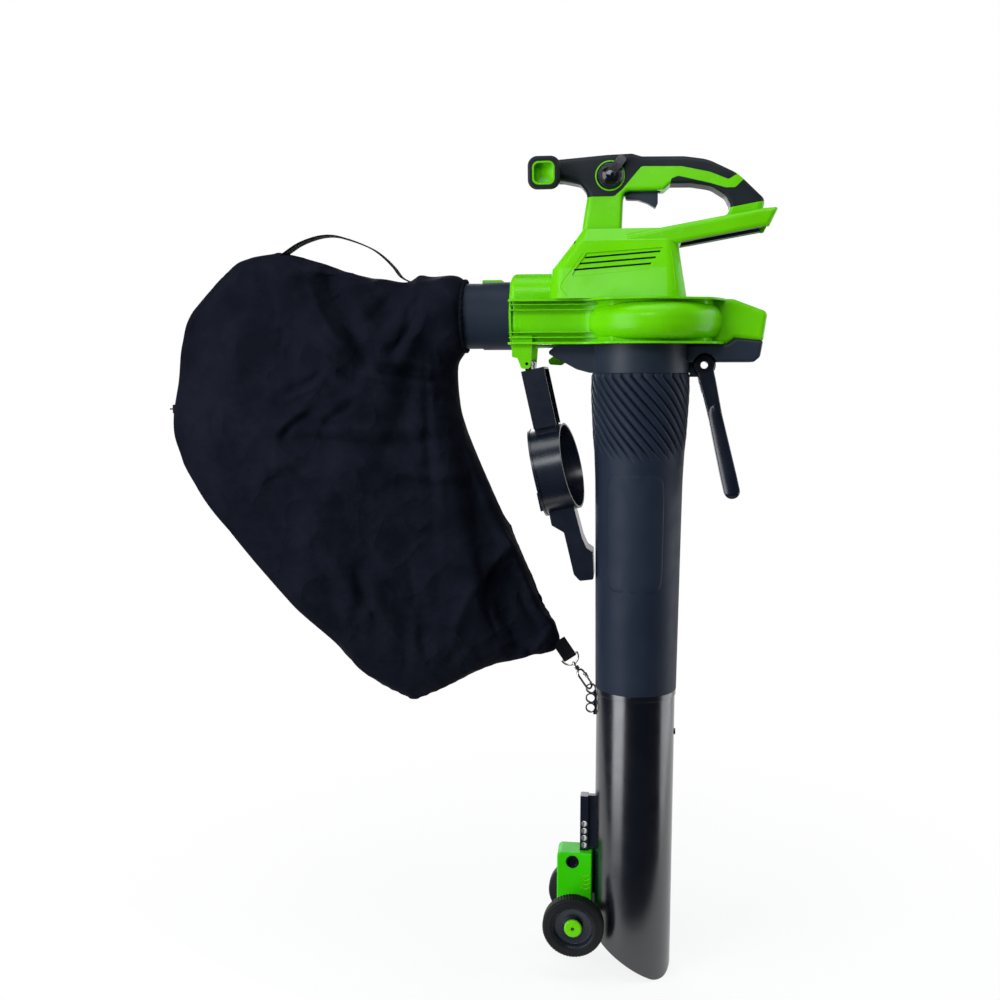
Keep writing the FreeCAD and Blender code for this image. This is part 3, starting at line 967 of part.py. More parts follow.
def band(points, thickness, y0, y1):
    """Strap of even thickness along (x, z) points, standing across Y."""
    over = [V(x, 0, z + thickness / 2) for x, z in points]
    under = [V(x, 0, z - thickness / 2) for x, z in reversed(points)]
    outline = Part.makePolygon([V(p.x, y0, p.z) for p in over + under + over[:1]])
    return Part.Face(outline).extrude(V(0, y1 - y0, 0))


STRAP_POINTS = [(-540, -97), (-512, -92.2), (-496, -89.7), (-484, -81.5), (-470, -76.5), (-455, -72.6), (-442, -71), (-430, -72.3),
                (-418, -75), (-400, -81), (-380, -90), (-365, -102), (-352, -115), (-343, -129.5), (-320, -135.5)]
strap = band(STRAP_POINTS, WEB_THICK, NOZZLE_Y - WEB_WIDTH / 2, NOZZLE_Y + WEB_WIDTH / 2)
bag_keepout = bag_loft(-GAP)
strap = largest(strap.cut(bag_keepout))
save("bag_handle_strap", strap)


def pull_place(shape, turn):
    """From an upright frame (+Z along the pull, +X across) to the top ring of the hook strip."""
    lean = math.radians(HOOK_LEAN)
    reach = (HOOK_HOLE_R + HOOK_RING_R) / 2
    shape.rotate(V(0, 0, 0), V(0, 0, 1), turn)
    shape.rotate(V(0, 0, 0), V(0, 1, 0), -HOOK_LEAN)
    shape.translate(V(HOOK_X - reach * math.sin(lean), 0, HOOK_Z + reach * math.cos(lean)))
    return shape


def half_ring(radius, wire_r, z, up):
    """Half a ring of wire in the XZ plane, bowed up or down."""
    start = V(radius, 0, z)
    face = Part.Face(Part.Wire(Part.makeCircle(wire_r, start, V(0, 0, 1))))
    return face.revolve(V(0, 0, z), V(0, -1 if up else 1, 0), 180)


curve_h = BEND_R + LOOP_LENGTH + 10.5
bar_h = curve_h + DRING_R
eye_h = curve_h + DRING_WIRE_R + SLIP - (EYE_R - EYE_WIRE_R)
barrel_h = BEND_R + LOOP_LENGTH + HOOK_WIRE_R
hook_body = fuse([half_ring(BEND_R, HOOK_WIRE_R, 0, False), half_ring(BEND_R, HOOK_WIRE_R, LOOP_LENGTH, True),
                  rod_z(HOOK_WIRE_R, -BEND_R, 0, 0, LOOP_LENGTH), rod_z(HOOK_WIRE_R, BEND_R, 0, 0, 1.5),
                  rod_z(HOOK_WIRE_R, BEND_R, 0, GATE_PIVOT_H + 3.2, LOOP_LENGTH),
                  rod_y(2.1, BEND_R, GATE_PIVOT_H, -0.9, 0.9),
                  box(BEND_R - 1.2, BEND_R + 1.2, -0.9, 0.9, GATE_PIVOT_H, GATE_PIVOT_H + 3.6)])
hook_body = hook_body.cut(rod_y(GATE_PIN_R + RUN, BEND_R, GATE_PIVOT_H, -3, 3))
gate = rod_z(GATE_R, BEND_R, 0, 1.5 + GAP, GATE_PIVOT_H - 2.6)
gate = gate.fuse(box(BEND_R - 1.2, BEND_R + 1.2, -2.1, 2.1, GATE_PIVOT_H - 5.5, GATE_PIVOT_H - 2.6))
for y in (-2.1, 1.1):
    gate = gate.fuse(box(BEND_R - 1.2, BEND_R + 1.2, y, y + 1.0, GATE_PIVOT_H - 3.5, GATE_PIVOT_H))
    gate = gate.fuse(rod_y(1.9, BEND_R, GATE_PIVOT_H, y, y + 1.0))
gate = gate.fuse(rod_y(GATE_PIN_R, BEND_R, GATE_PIVOT_H, -2.1, 2.1)).removeSplitter()
swivel = rod_z(BARREL_R, 0, 0, barrel_h + GAP, eye_h - EYE_R + 0.6)
eye = Part.makeTorus(EYE_R, EYE_WIRE_R, V(0, 0, eye_h), V(1, 0, 0))
d_ring = half_ring(DRING_R, DRING_WIRE_R, bar_h, False).fuse(rod_x(DRING_WIRE_R, 0, bar_h, -DRING_R - 1, DRING_R + 1))
neck_pin = rod_z(1.4, 0, 0, barrel_h - 1, barrel_h + GAP + 1)
hook_body = pull_place(hook_body.fuse(neck_pin), HOOK_TURN)
swivel = pull_place(swivel.fuse(eye).cut(rod_z(1.4 + RUN, 0, 0, barrel_h - 2, barrel_h + GAP + 1)), 0)
loop_r = DRING_WIRE_R + GAP + WEB_THICK
bag_tab = rod_x(loop_r, 0, bar_h, -TAB_WIDTH / 2, TAB_WIDTH / 2)
bag_tab = bag_tab.fuse(box(-TAB_WIDTH / 2, TAB_WIDTH / 2, -WEB_THICK, WEB_THICK, bar_h, bar_h + 26))
bag_tab = bag_tab.cut(rod_x(DRING_WIRE_R + GAP, 0, bar_h, -TAB_WIDTH, TAB_WIDTH)).removeSplitter()
bag_tab = largest(pull_place(bag_tab, 0).cut(bag_keepout))
save("bag_tab", bag_tab)
save("d_ring", pull_place(d_ring.removeSplitter(), 0))
save("hook_swivel", swivel.removeSplitter())
save("snap_hook", hook_body.removeSplitter())
save("snap_gate", pull_place(gate, HOOK_TURN))

# Zip slider and pull at the bag's front edge
ZIP_X = -663.5
ZIP_Z = -301.5
slider = rounded_edges(box(ZIP_X - 3.4, ZIP_X + 1.6, NOZZLE_Y - 4, NOZZLE_Y + 4, ZIP_Z - 6, ZIP_Z + 6), 1.2, lambda e: True)
pull = box(ZIP_X - 8, ZIP_X - 2, NOZZLE_Y - 2, NOZZLE_Y + 2, ZIP_Z - 0.9, ZIP_Z + 0.9)
zip_pull = largest(slider.fuse(pull).cut(bag_keepout))
save("zip_pull", zip_pull)
print(len(written), "nodes")
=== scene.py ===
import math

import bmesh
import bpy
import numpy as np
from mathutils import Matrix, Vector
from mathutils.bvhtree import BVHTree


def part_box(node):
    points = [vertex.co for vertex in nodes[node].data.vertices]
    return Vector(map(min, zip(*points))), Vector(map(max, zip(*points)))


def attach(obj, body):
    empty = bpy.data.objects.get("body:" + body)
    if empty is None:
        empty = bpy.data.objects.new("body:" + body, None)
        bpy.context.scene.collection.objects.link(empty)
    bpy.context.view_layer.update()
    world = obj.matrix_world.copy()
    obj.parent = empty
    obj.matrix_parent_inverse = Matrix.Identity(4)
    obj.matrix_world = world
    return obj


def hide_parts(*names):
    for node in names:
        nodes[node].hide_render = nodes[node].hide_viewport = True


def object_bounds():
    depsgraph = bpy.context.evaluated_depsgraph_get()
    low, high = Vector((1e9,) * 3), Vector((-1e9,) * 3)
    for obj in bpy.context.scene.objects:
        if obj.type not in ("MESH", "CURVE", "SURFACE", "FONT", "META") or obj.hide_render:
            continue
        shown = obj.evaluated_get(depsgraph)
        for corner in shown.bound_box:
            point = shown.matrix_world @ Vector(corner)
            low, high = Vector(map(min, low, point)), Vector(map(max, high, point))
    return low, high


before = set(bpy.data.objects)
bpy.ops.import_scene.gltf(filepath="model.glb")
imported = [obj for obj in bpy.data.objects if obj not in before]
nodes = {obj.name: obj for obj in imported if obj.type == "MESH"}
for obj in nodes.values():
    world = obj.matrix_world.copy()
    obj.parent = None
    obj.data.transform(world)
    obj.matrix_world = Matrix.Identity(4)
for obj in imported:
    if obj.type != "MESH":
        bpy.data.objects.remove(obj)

# %% [markdown]
# # Cordless leaf blower and vacuum, with its leaf bag
#
# The imported CAD model is the frame: the motor unit with its loop handle, two suction tubes, the
# inlet cover, the clamp lever, the wheeled foot and the snap hook keep their CAD shapes and get
# moulded-plastic, rubber and plated-metal materials.  The pieces whose shape the CAD only stands
# in for are made here: the cloth bag with its gathered neck, the webbing strap and tab, the ribbed
# upper tube and the tyres.  Small pieces that the CAD leaves out are added: the bag's neck hem and
# zip tape, the panel on the upper tube, the marks on the foot, the crowns of the clamp lever, the
# seams of the motor housing and the dark sheets of painted shade behind its vents, and the floor of
# the front grip.
#
# Everything is in metres.  +X points to the rear of the tool, +Z is up, and -Y is the near side.

low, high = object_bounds()
print("CAD box", [round(v, 4) for v in low], [round(v, 4) for v in high])

FAN_X = -0.027            # upright axis of the fan and of the suction tubes
NOZZLE_Y = 0.008          # axis of the outlet nozzle
NOZZLE_Z = -0.178
NOZZLE_R = 0.0425

# %% [markdown]
# ## Colour and node helpers
#
# Colours are written as the sRGB hex value that the surface should show.  One function turns them
# into linear light, with a gain and a lift for paler and deeper tones.  One function adds a node,
# sets its options and fills or links its inputs.  Two more build what every material here shares:
# patches of noise at a size in millimetres, and a relief with rounded edges.

# %% Colour and node helpers

COLOURS = {"out": 2, "data_type": "RGBA"}    # makes a Mix node blend two colours


def put(target, **values):
    """Sets several properties of one thing and returns it."""
    for key, value in values.items():
        setattr(target, key, value)
    return target


def colour(code, gain=1.0, lift=0.0):
    """Linear RGBA from an sRGB hex code: each channel goes through the inverse sRGB curve, is
    multiplied by the gain and raised by the lift, and stops at 1."""
    parts = np.array([int(code[i:i + 2], 16) for i in (1, 3, 5)]) / 255
    linear = np.where(parts <= 0.04045, parts / 12.92, ((parts + 0.055) / 1.055) ** 2.4)
    return (*np.minimum(linear * gain + lift, 1.0).tolist(), 1.0)


def empty_tree(owner):
    """Node tree of a new material or world, with nothing in it."""
    owner.use_nodes = True
    owner.node_tree.nodes.clear()
    return owner.node_tree


def add(tree, kind, inputs=(), out=0, **options):
    """Adds one shader node and returns one of its outputs.  inputs fills the first sockets in
    order, or the named ones from a dictionary; each value is a constant or a link."""
    node = put(tree.nodes.new("ShaderNode" + kind), **options)
    for key, value in inputs.items() if isinstance(inputs, dict) else enumerate(inputs):
        if isinstance(value, bpy.types.NodeSocket):
            tree.links.new(value, node.inputs[key])
        else:
            node.inputs[key].default_value = value
    return node.outputs[out] if len(node.outputs) else node


def patches(tree, size_mm, span=None, to=(0.0, 1.0), stretch=(1.0, 1.0, 1.0), **settings):
    """Noise on the object's own coordinates, its blobs about size_mm across and longer along an
    axis where stretch is below 1; a span of its values is mapped to another."""
    place = add(tree, "VectorMath", (add(tree, "TexCoord", out="Object"), stretch),
                operation="MULTIPLY")
    value = add(tree, "TexNoise", {"Vector": place, "Scale": 1000 / size_mm, **settings})
    return add(tree, "MapRange", (value, *span, *to)) if span else value


def relief(tree, height, depth_mm, radius_mm, **options):
    """Normal of a surface with this height and depth, whose edges are rounded by the radius."""
    rounded = add(tree, "Bevel", {"Radius": radius_mm / 1000}, samples=4)
    return add(tree, "Bump", {"Strength": 1.0, "Distance": depth_mm / 1000, "Height": height,
                              "Normal": rounded}, **options)


def surfaced(name, build, *sizes, **more):
    """New material with a Principled shader, whose inputs the build function works out."""
    material = bpy.data.materials.new(name)
    tree = empty_tree(material)
    shader = add(tree, "BsdfPrincipled", build(tree, *sizes, **more))
    add(tree, "OutputMaterial", [shader])
    return material


# %% [markdown]
# ## Moulded plastic
#
# Injection-moulded housings carry a fine spark-eroded grain, a slow drift of gloss where the mould
# is more or less polished, and light handling marks.  The grain is a bump of a few hundredths of a
# millimetre, the drift goes into the roughness, and a rounded-edge normal catches light along every
# corner as a real mould radius does.  The cruise lever and the height button are polished black,
# while the cover, the clamp lever and the wheels are a satin black that keeps softer streaks.  The
# foot's carriage is a deeper green than the housing.

# %% Moulded plastic

MOULD_RADIUS_MM = 0.8


def plastic(tree, code, rough, grain_mm=0.7, grain_depth=0.03, drift=0.06, tint=0.06, scuff=0.25,
            specular=0.35):
    """Moulded plastic.  Base colour varies by tint over 60 mm, roughness by drift over 25 mm,
    bump is grain of grain_mm and grain_depth millimetres, and scuff lightens thin scratches."""
    clouds = patches(tree, 60, (0.35, 0.65))
    tone = add(tree, "Mix", {0: clouds, 6: colour(code, 1 - tint),
                             7: colour(code, 1 + tint, 0.002)}, **COLOURS)
    scratch = patches(tree, 9, (0.62, 0.72), (0.0, scuff), (1.0, 1.0, 0.14), Detail=6.0,
                      Roughness=0.7)
    base = add(tree, "Mix", {0: scratch, 6: tone, 7: colour(code, 1.35, 0.012)}, **COLOURS)
    gloss = patches(tree, 25, (0.3, 0.7), (rough - drift, rough + drift), Detail=4.0)
    dull = add(tree, "Math", (scratch, 0.25), operation="MULTIPLY")
    return {"Base Color": base, "Roughness": add(tree, "Math", (gloss, dull), operation="ADD"),
            "IOR": 1.5, "Specular IOR Level": specular,
            "Normal": relief(tree, patches(tree, grain_mm), grain_depth, MOULD_RADIUS_MM)}


green = surfaced("polypropylene lime green", plastic, "#63c500", 0.25, grain_mm=0.6,
                 grain_depth=0.02, tint=0.05, scuff=0.06, specular=0.16)
carriage_green = surfaced("polypropylene leaf green", plastic, "#34c403", 0.32, grain_mm=0.6,
                          grain_depth=0.02, tint=0.05, scuff=0.10, specular=0.11)
dark_plastic = surfaced("polypropylene charcoal", plastic, "#202936", 0.42, grain_depth=0.04,
                        scuff=0.12, specular=0.22)
nozzle_plastic = surfaced("polypropylene charcoal satin", plastic, "#1c2532", 0.52,
                          grain_depth=0.04, scuff=0.12, specular=0.12)
tube_plastic = surfaced("polypropylene slate", plastic, "#1e2635", 0.50, grain_mm=0.9,
                        grain_depth=0.05, scuff=0.12, specular=0.13)
tube_gloss = surfaced("polypropylene polished slate", plastic, "#080c16", 0.24, grain_mm=3.0,
                      grain_depth=0.01, drift=0.03, scuff=0.05, specular=1.0)
black_gloss = surfaced("acrylonitrile gloss black", plastic, "#0a0e16", 0.11, grain_mm=2.0,
                       grain_depth=0.01, drift=0.02, scuff=0.04, specular=0.5)
satin_black = surfaced("acrylonitrile satin black", plastic, "#0e1523", 0.27, grain_mm=2.0,
                       grain_depth=0.01, drift=0.03, scuff=0.04, specular=0.6)
fan_plastic = surfaced("glass-filled nylon black", plastic, "#17191c", 0.5, grain_mm=0.5,
                       grain_depth=0.05)
board_resin = surfaced("circuit board laminate", plastic, "#1d4a2c", 0.45, grain_mm=0.4)
print("plastics made")

# %% [markdown]
# ## Rubber
#
# The overmoulded grips are soft thermoplastic elastomer, with painted shade in the grain's pits, a
# little paler and smoother where hands rub, with a fine leather-like mould texture.  The tyres are
# harder rubber with dust in the texture.

# %% Rubber

DUST = 0.0036             # linear light that dust adds to the rubbed patches
RUBBER_RADIUS_MM = 1.2


def rubber(tree, code, rough, cell_mm=1.1, depth=0.10):
    """Elastomer.  Cells of cell_mm give the mould texture and painted shade in its pits, and noise
    the rubbed patches.
    """
    place = add(tree, "TexCoord", out="Object")
    cells = add(tree, "TexVoronoi", {"Vector": place, "Scale": 1000 / cell_mm},
                feature="SMOOTH_F1")
    rubbed = patches(tree, 45, (0.4, 0.7), Detail=3.0)
    share = add(tree, "Math", (rubbed, 0.8), operation="MULTIPLY")
    tone = add(tree, "Mix", {0: share, 6: colour(code), 7: colour(code, 1.25, DUST)}, **COLOURS)
    # painted shade: the base colour darkens to 0.75 of itself in the texture's pits
    pit_shade = add(tree, "MapRange", (cells, 0.2, 0.6, 0.5, 0.0))
    return {"Base Color": add(tree, "Mix", {0: pit_shade, 6: tone, 7: colour(code, 0.75)}, **COLOURS),
            "Roughness": add(tree, "MapRange", (rubbed, 0.0, 1.0, rough, rough - 0.12)),
            "IOR": 1.52, "Specular IOR Level": 0.2,
            "Normal": relief(tree, cells, depth, RUBBER_RADIUS_MM, invert=True)}


grip_rubber = surfaced("elastomer grip charcoal", rubber, "#10181e", 0.58)
tyre_rubber = surfaced("tyre rubber black", rubber, "#0b0c0e", 0.62, cell_mm=0.8, depth=0.08)
print("rubbers made")

# %% [markdown]
# ## Metal
#
# The bag's snap hook is nickel-plated zinc, the pins and screws are zinc-plated steel, and the
# battery contacts are copper alloy.  Plating is bright with fine brushed or tumbled marks, and its
# roughness changes in small patches.  The cover's hinge pin and spring and the zip's slider are
# steel with black oxide, which is dark and dull, so that they sink into the dark plastic.

# %% Metal

MARK_DEPTH_MM, METAL_RADIUS_MM = 0.02, 0.4


def metal(tree, code, rough):
    """Metal.  Roughness drifts in patches of 6 mm, and tumbling marks give a slight bump."""
    dull = patches(tree, 6, (0.35, 0.7), (0.0, 0.7), Detail=4.0)
    marks = patches(tree, 1.5, stretch=(1.0, 1.0, 0.25), Detail=5.0)
    return {"Base Color": add(tree, "Mix", {0: dull, 6: colour(code), 7: colour(code, 0.72)},
                              **COLOURS),
            "Metallic": 1.0,
            "Roughness": patches(tree, 6, (0.3, 0.7), (rough, rough + 0.14), Detail=4.0),
            "Normal": relief(tree, marks, MARK_DEPTH_MM, METAL_RADIUS_MM)}


nickel = surfaced("nickel plated zinc", metal, "#c9c6c0", 0.16)
steel = surfaced("zinc plated steel", metal, "#a9adb0", 0.28)
gunmetal = surfaced("black nickel plated steel", metal, "#3b3f45", 0.22)
dark_steel = surfaced("black oxide steel", metal, "#15161a", 0.5)
motor_steel = surfaced("motor can steel", metal, "#8d9094", 0.34)
copper = surfaced("copper alloy", metal, "#c08a5a", 0.25)
print("metals made")

# %% [markdown]
# ## Woven fabric
#
# The bag is tightly woven polyester: warp and weft ridges at a fraction of a millimetre, a soft
# bloom of loose fibres, slow patches where the cloth has been handled, and faint sharp crumples a
# few centimetres apart, left from folding it away.  The strap is a much coarser webbing whose ribs
# run along it.

# %% Woven fabric

CRUMPLE_PITCH_MM = 55.5556


def woven(tree, code, pitch_mm, depth_mm, sheen, warp_turns=1.0, crumple_mm=0.0):
    """Plain weave from two crossed waves of pitch_mm; the threads that lie on top get a painted
    highlight, a paler tone.
    The waves read the object's own coordinates, so that the weave has one scale everywhere.
    Crumples are a ridged noise that lifts the cloth by up to crumple_mm, under the weave."""
    place = add(tree, "TexCoord", out="Object")
    x, y, z = (add(tree, "SeparateXYZ", [place], out=axis) for axis in "XYZ")
    turns = 2 * math.pi * 1000 / pitch_mm
    waves = []
    for main, lean, rate in ((x, 0.9, turns * warp_turns), (z, 0.31, turns)):
        wave = add(tree, "Math", (y, lean, main), operation="MULTIPLY_ADD")
        wave = add(tree, "Math", (wave, rate), operation="MULTIPLY")
        wave = add(tree, "Math", [wave], operation="SINE")
        waves.append(add(tree, "Math", (wave, 0.5), operation="MULTIPLY"))
    threads = add(tree, "Math", waves, operation="ADD")
    height = add(tree, "Math", (patches(tree, 0.35), 0.8, threads), operation="MULTIPLY_ADD")
    clouds = patches(tree, 55, (0.35, 0.65), Detail=5.0, Roughness=0.6)
    tone = add(tree, "Mix", {0: clouds, 6: colour(code, 0.75), 7: colour(code, 1.25, 0.0015)},
               **COLOURS)
    # painted highlight: the threads that lie on top are mixed towards a paler tone, as if lit
    thread_highlight = add(tree, "MapRange", (threads, -0.2, 1.0, 0.0, 0.4))
    ridges = add(tree, "TexNoise", {"Vector": place, "Scale": 1000 / CRUMPLE_PITCH_MM,
                                    "Detail": 3.0, "Roughness": 0.45, "Offset": 1.0,
                                    "Gain": 1.0}, noise_type="RIDGED_MULTIFRACTAL")
    crumple = add(tree, "Bump", {"Strength": 1.0, "Distance": crumple_mm / 1000,
                                 "Height": ridges})
    return {"Base Color": add(tree, "Mix", {0: thread_highlight, 6: tone, 7: colour(code, 1.5, 0.002)},
                              **COLOURS),
            "Roughness": add(tree, "MapRange", (clouds, 0.0, 1.0, 0.92, 0.78)),
            "IOR": 1.45, "Specular IOR Level": 0.08,
            "Sheen Weight": sheen, "Sheen Roughness": 0.45, "Sheen Tint": colour("#8a90a8"),
            "Normal": add(tree, "Bump", {"Strength": 0.8, "Distance": depth_mm / 1000,
                                         "Height": height, "Normal": crumple})}


bag_cloth = surfaced("polyester bag cloth navy black", woven, "#0a0d18", 0.55, 0.025, 0.012,
                     crumple_mm=2.6)
webbing = surfaced("polypropylene webbing black", woven, "#090b0f", 1.3, 0.25, 0.03,
                   warp_turns=0.5)
print("fabrics made")

# %% [markdown]
# ## Finishes of the CAD pieces
#
# Each CAD node takes the material of the real piece by its name; the objects and their meshes stay
# as they are.

# %% Finishes of the CAD pieces

finishes = {
    green: ["housing_left", "housing_right", "front_grip_core", "dial_bezel", "nozzle_latch",
            "hub_cap_left", "hub_cap_right"],
    carriage_green: ["wheel_carriage"],
    grip_rubber: ["grip_top_overmould", "grip_rear_overmould", "front_grip_sleeve"],
    dark_plastic: ["trigger", "trigger_switch", "battery_rails", "board_spacers", "lower_housing",
                   "axle_spacers", "bag_cuff"],
    nozzle_plastic: ["nozzle_tube"],
    tube_plastic: ["upper_tube"],
    tube_gloss: ["lower_tube"],
    black_gloss: ["cruise_lever", "height_button"],
    satin_black: ["inlet_cover", "clamp_lever", "wheel_rack", "wheel_disc_left",
                  "wheel_disc_right"],
    tyre_rubber: ["tyre_left", "tyre_right"],
    steel: ["housing_screws", "trigger_pin", "trigger_spring", "cruise_lever_clip",
            "motor_bearings", "motor_shaft", "impeller_nut", "button_spring", "axle"],
    gunmetal: ["lever_eyelet"],
    dark_steel: ["zip_pull", "cover_hinge_pin", "cover_spring"],
    nickel: ["d_ring", "hook_swivel", "snap_hook", "snap_gate"],
    motor_steel: ["motor_can", "motor_rotor"],
    fan_plastic: ["motor_mount", "impeller"],
    board_resin: ["control_board"],
    copper: ["battery_contacts"],
    bag_cloth: ["leaf_bag"],
    webbing: ["bag_handle_strap", "bag_tab"],
}
for material, names in finishes.items():
    for name in names:
        for slot in nodes[name].material_slots:
            put(slot, link="OBJECT", material=material)
unfinished = sorted(set(nodes) - {name for names in finishes.values() for name in names})
print("CAD nodes finished:", len(nodes) - len(unfinished), "left:", unfinished)

# %% [markdown]
# ## Surfaces from formulas
#
# Every new piece is a grid of points, a function of two parameters, turned into one mesh.  Rings
# that close are joined edge to edge, and open ends get a cap, so that no piece has a gap.

# %% Surfaces from formulas


def whole_turn(count):
    """Even angles round a circle, without the last, which would repeat the first."""
    return np.linspace(0, 2 * np.pi, count, endpoint=False)


def squared(count, power_a, power_b):
    """Cosine and sine round a circle, each raised to a power below 1 with its sign kept, which
    swells the circle to a rounded rectangle."""
    a, b = np.cos(whole_turn(count)), np.sin(whole_turn(count))
    return np.sign(a) * np.abs(a) ** power_a, np.sign(b) * np.abs(b) ** power_b


def unit(rows):
    """Each row divided by its length."""
    return rows / np.linalg.norm(rows, axis=1, keepdims=True)


def stacked(x, y, z):
    """Points from three arrays of coordinates that are broadcast to one shape."""
    return np.stack(np.broadcast_arrays(x, y, z), -1)


def smooth_line(points, count):
    """Even points on a smooth curve through the given ones: cubic Hermite pieces whose tangents
    are half the step between the neighbours, resampled by length."""
    points = np.asarray(points, float)
    tangents = np.gradient(points, axis=0)
    t = np.linspace(0, len(points) - 1, count * 8)
    k = np.minimum(t.astype(int), len(points) - 2)
    s = (t - k)[:, None]
    p0, p1, m0, m1 = points[k], points[k + 1], tangents[k], tangents[k + 1]
    dense = ((2 * s ** 3 - 3 * s ** 2 + 1) * p0 + (s ** 3 - 2 * s ** 2 + s) * m0
             + (-2 * s ** 3 + 3 * s ** 2) * p1 + (s ** 3 - s ** 2) * m1)
    run = np.concatenate([[0], np.cumsum(np.linalg.norm(np.diff(dense, axis=0), axis=1))])
    even = np.linspace(0, run[-1], count)
    return np.stack([np.interp(even, run, axis) for axis in dense.T], -1)


def grid_arrays(points, caps=True):
    """Vertices and faces of a grid of (rows, columns) points whose rows close into rings; caps
    close the first and the last ring."""
    rows, columns = points.shape[:2]
    start, j = np.meshgrid(np.arange(rows - 1) * columns, np.arange(columns), indexing="ij")
    after = (j + 1) % columns
    faces = np.stack([start + j, start + after, start + columns + after, start + columns + j], -1)
    faces = faces.reshape(-1, 4).tolist()
    if caps:
        faces.append(np.arange(columns)[::-1].tolist())
        faces.append((np.arange(columns) + (rows - 1) * columns).tolist())
    return points.reshape(-1, 3), faces


def placed(name, data):
    """New object with this mesh, light or camera, linked into the scene."""
    made = bpy.data.objects.new(name, data)
    bpy.context.scene.collection.objects.link(made)
    return made


def piece(name, points, material, body, caps=True, sharp=35.0):
    """Object from a grid of points, smooth but for edges sharper than sharp degrees."""
    vertices, faces = grid_arrays(points, caps)
    mesh = bpy.data.meshes.new(name)
    mesh.from_pydata(vertices.tolist(), [], faces)
    return finish_piece(name, mesh, material, body, sharp)


def finish_piece(name, mesh, material, body, sharp=35.0):
    """Puts a mesh in the scene: outward normals, smooth shading, material and body."""
    work = bmesh.new()
    work.from_mesh(mesh)
    bmesh.ops.remove_doubles(work, verts=work.verts, dist=1e-6)
    bmesh.ops.recalc_face_normals(work, faces=work.faces)
    work.to_mesh(mesh)
    work.free()
    mesh.shade_smooth()
    mesh.set_sharp_from_angle(angle=math.radians(sharp))
    mesh.materials.clear()
    mesh.materials.append(material)
    made = placed(name, mesh)
    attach(made, body)
    print(f"{name}: {len(mesh.polygons)} faces")
    return made


# %% [markdown]
# ## Upper suction tube
#
# The tapered tube has a band of slanting ribs under the collar, like shingles: each starts at a
# thin groove, swells, and falls into the next groove, and all of them fade out a hand's width lower
# down.  The grid's columns follow the ribs' slant, so that every groove gets clean edges from few
# faces.

# %% Upper suction tube

COLLAR_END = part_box("lower_housing")[0].z
TUBE_TOP, TUBE_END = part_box("upper_tube")[1].z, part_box("upper_tube")[0].z
RIBS = 29
RIB_SLANT = 0.0688        # metres down for each radian that a rib turns
RIB_RISE, GROOVE_DEPTH = 0.0016, 0.0028
GROOVE_SHARE = 0.15       # half width of a groove, as a share of a rib
BAND_TOP = -0.2523        # level of the collar's step
BAND, BAND_WAVE, BAND_FADE = 0.106, 0.006, 0.026
TUBE_WALL = 0.0024
TUBE_LINE = np.array([(0.0588, -0.2400), (0.0590, -0.2516), (0.0617, -0.2522), (0.0621, -0.2560),
                      (0.0622, -0.2850), (0.0576, -0.3720), (0.0562, -0.4320),
                      (0.0536, -0.6680)])
RIB_COLUMNS = np.array([0.0, 0.035, 0.07, 0.11, 0.16, 0.24, 0.36, 0.5, 0.64, 0.78, 0.88, 0.94,
                        0.975])
print("upper tube", round(TUBE_TOP, 4), round(TUBE_END, 4), "collar ends at",
      round(COLLAR_END, 4))


def tube_radius(z):
    """Outer radius of the tapered tube at a level, from the smooth line under the collar and the
    two steps of the spigot inside it."""
    under = smooth_line(TUBE_LINE[3:], 300)
    return np.where(z > TUBE_LINE[3, 1], np.interp(-z, -TUBE_LINE[:4, 1], TUBE_LINE[:4, 0]),
                    np.interp(-z, -under[:, 1], under[:, 0]))


def round_tube(radius, angle, z):
    """Points at these radii, angles and levels about the tubes' axis."""
    return stacked(FAN_X + radius * np.cos(angle), radius * np.sin(angle), z)


levels = np.concatenate([TUBE_LINE[:4, 1], np.linspace(-0.2568, -0.372, 54),
                         np.linspace(-0.378, TUBE_END, 44)])
phase = (np.arange(RIBS)[:, None] + RIB_COLUMNS[None, :]).reshape(-1) / RIBS * 2 * np.pi
step = np.tile(RIB_COLUMNS, RIBS)
angle = phase[None, :] + (np.clip(COLLAR_END - levels, 0, 0.13) / RIB_SLANT)[:, None]
fade_end = COLLAR_END - BAND - BAND_WAVE * np.cos(2 * (angle + np.pi / 2))
fade = np.clip((levels[:, None] - fade_end) / BAND_FADE, 0, 1) * (levels < BAND_TOP)[:, None]
fade = fade * fade * (3 - 2 * fade)
groove = np.exp(-(np.minimum(step, 1 - step) / GROOVE_SHARE) ** 2)
ramp = RIB_RISE * step ** 1.2 * (1 - np.exp(-((1 - step) / 0.05) ** 2))
wide = tube_radius(levels)[:, None] + fade * (ramp - GROOVE_DEPTH * groove)[None, :]
upper = round_tube(wide, angle, levels[:, None])
inner_r = np.interp(-levels, [0.24, 0.256, 0.30], [0.0590, 0.0600, 0.0640])
inner_r = (np.minimum(tube_radius(levels), inner_r) - TUBE_WALL)[::-1, None]
inner = round_tube(inner_r, angle[::-1], levels[::-1, None])
shell = np.concatenate([upper, inner, upper[:1]], 0)
upper_tube = piece("upper_tube_shell", shell, tube_plastic, "blower", caps=False,
                   sharp=50)
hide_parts("upper_tube")

# %% [markdown]
# ## Panel on the upper tube
#
# A shallow raised panel with rounded corners is moulded into the near side of the tube, and its
# edge shows as a faint line.  A rounded rectangle is drawn in rings from its middle outwards,
# wrapped round the tube, and lifted by 0.6 mm, which halves at the rim.

# %% Panel on the upper tube

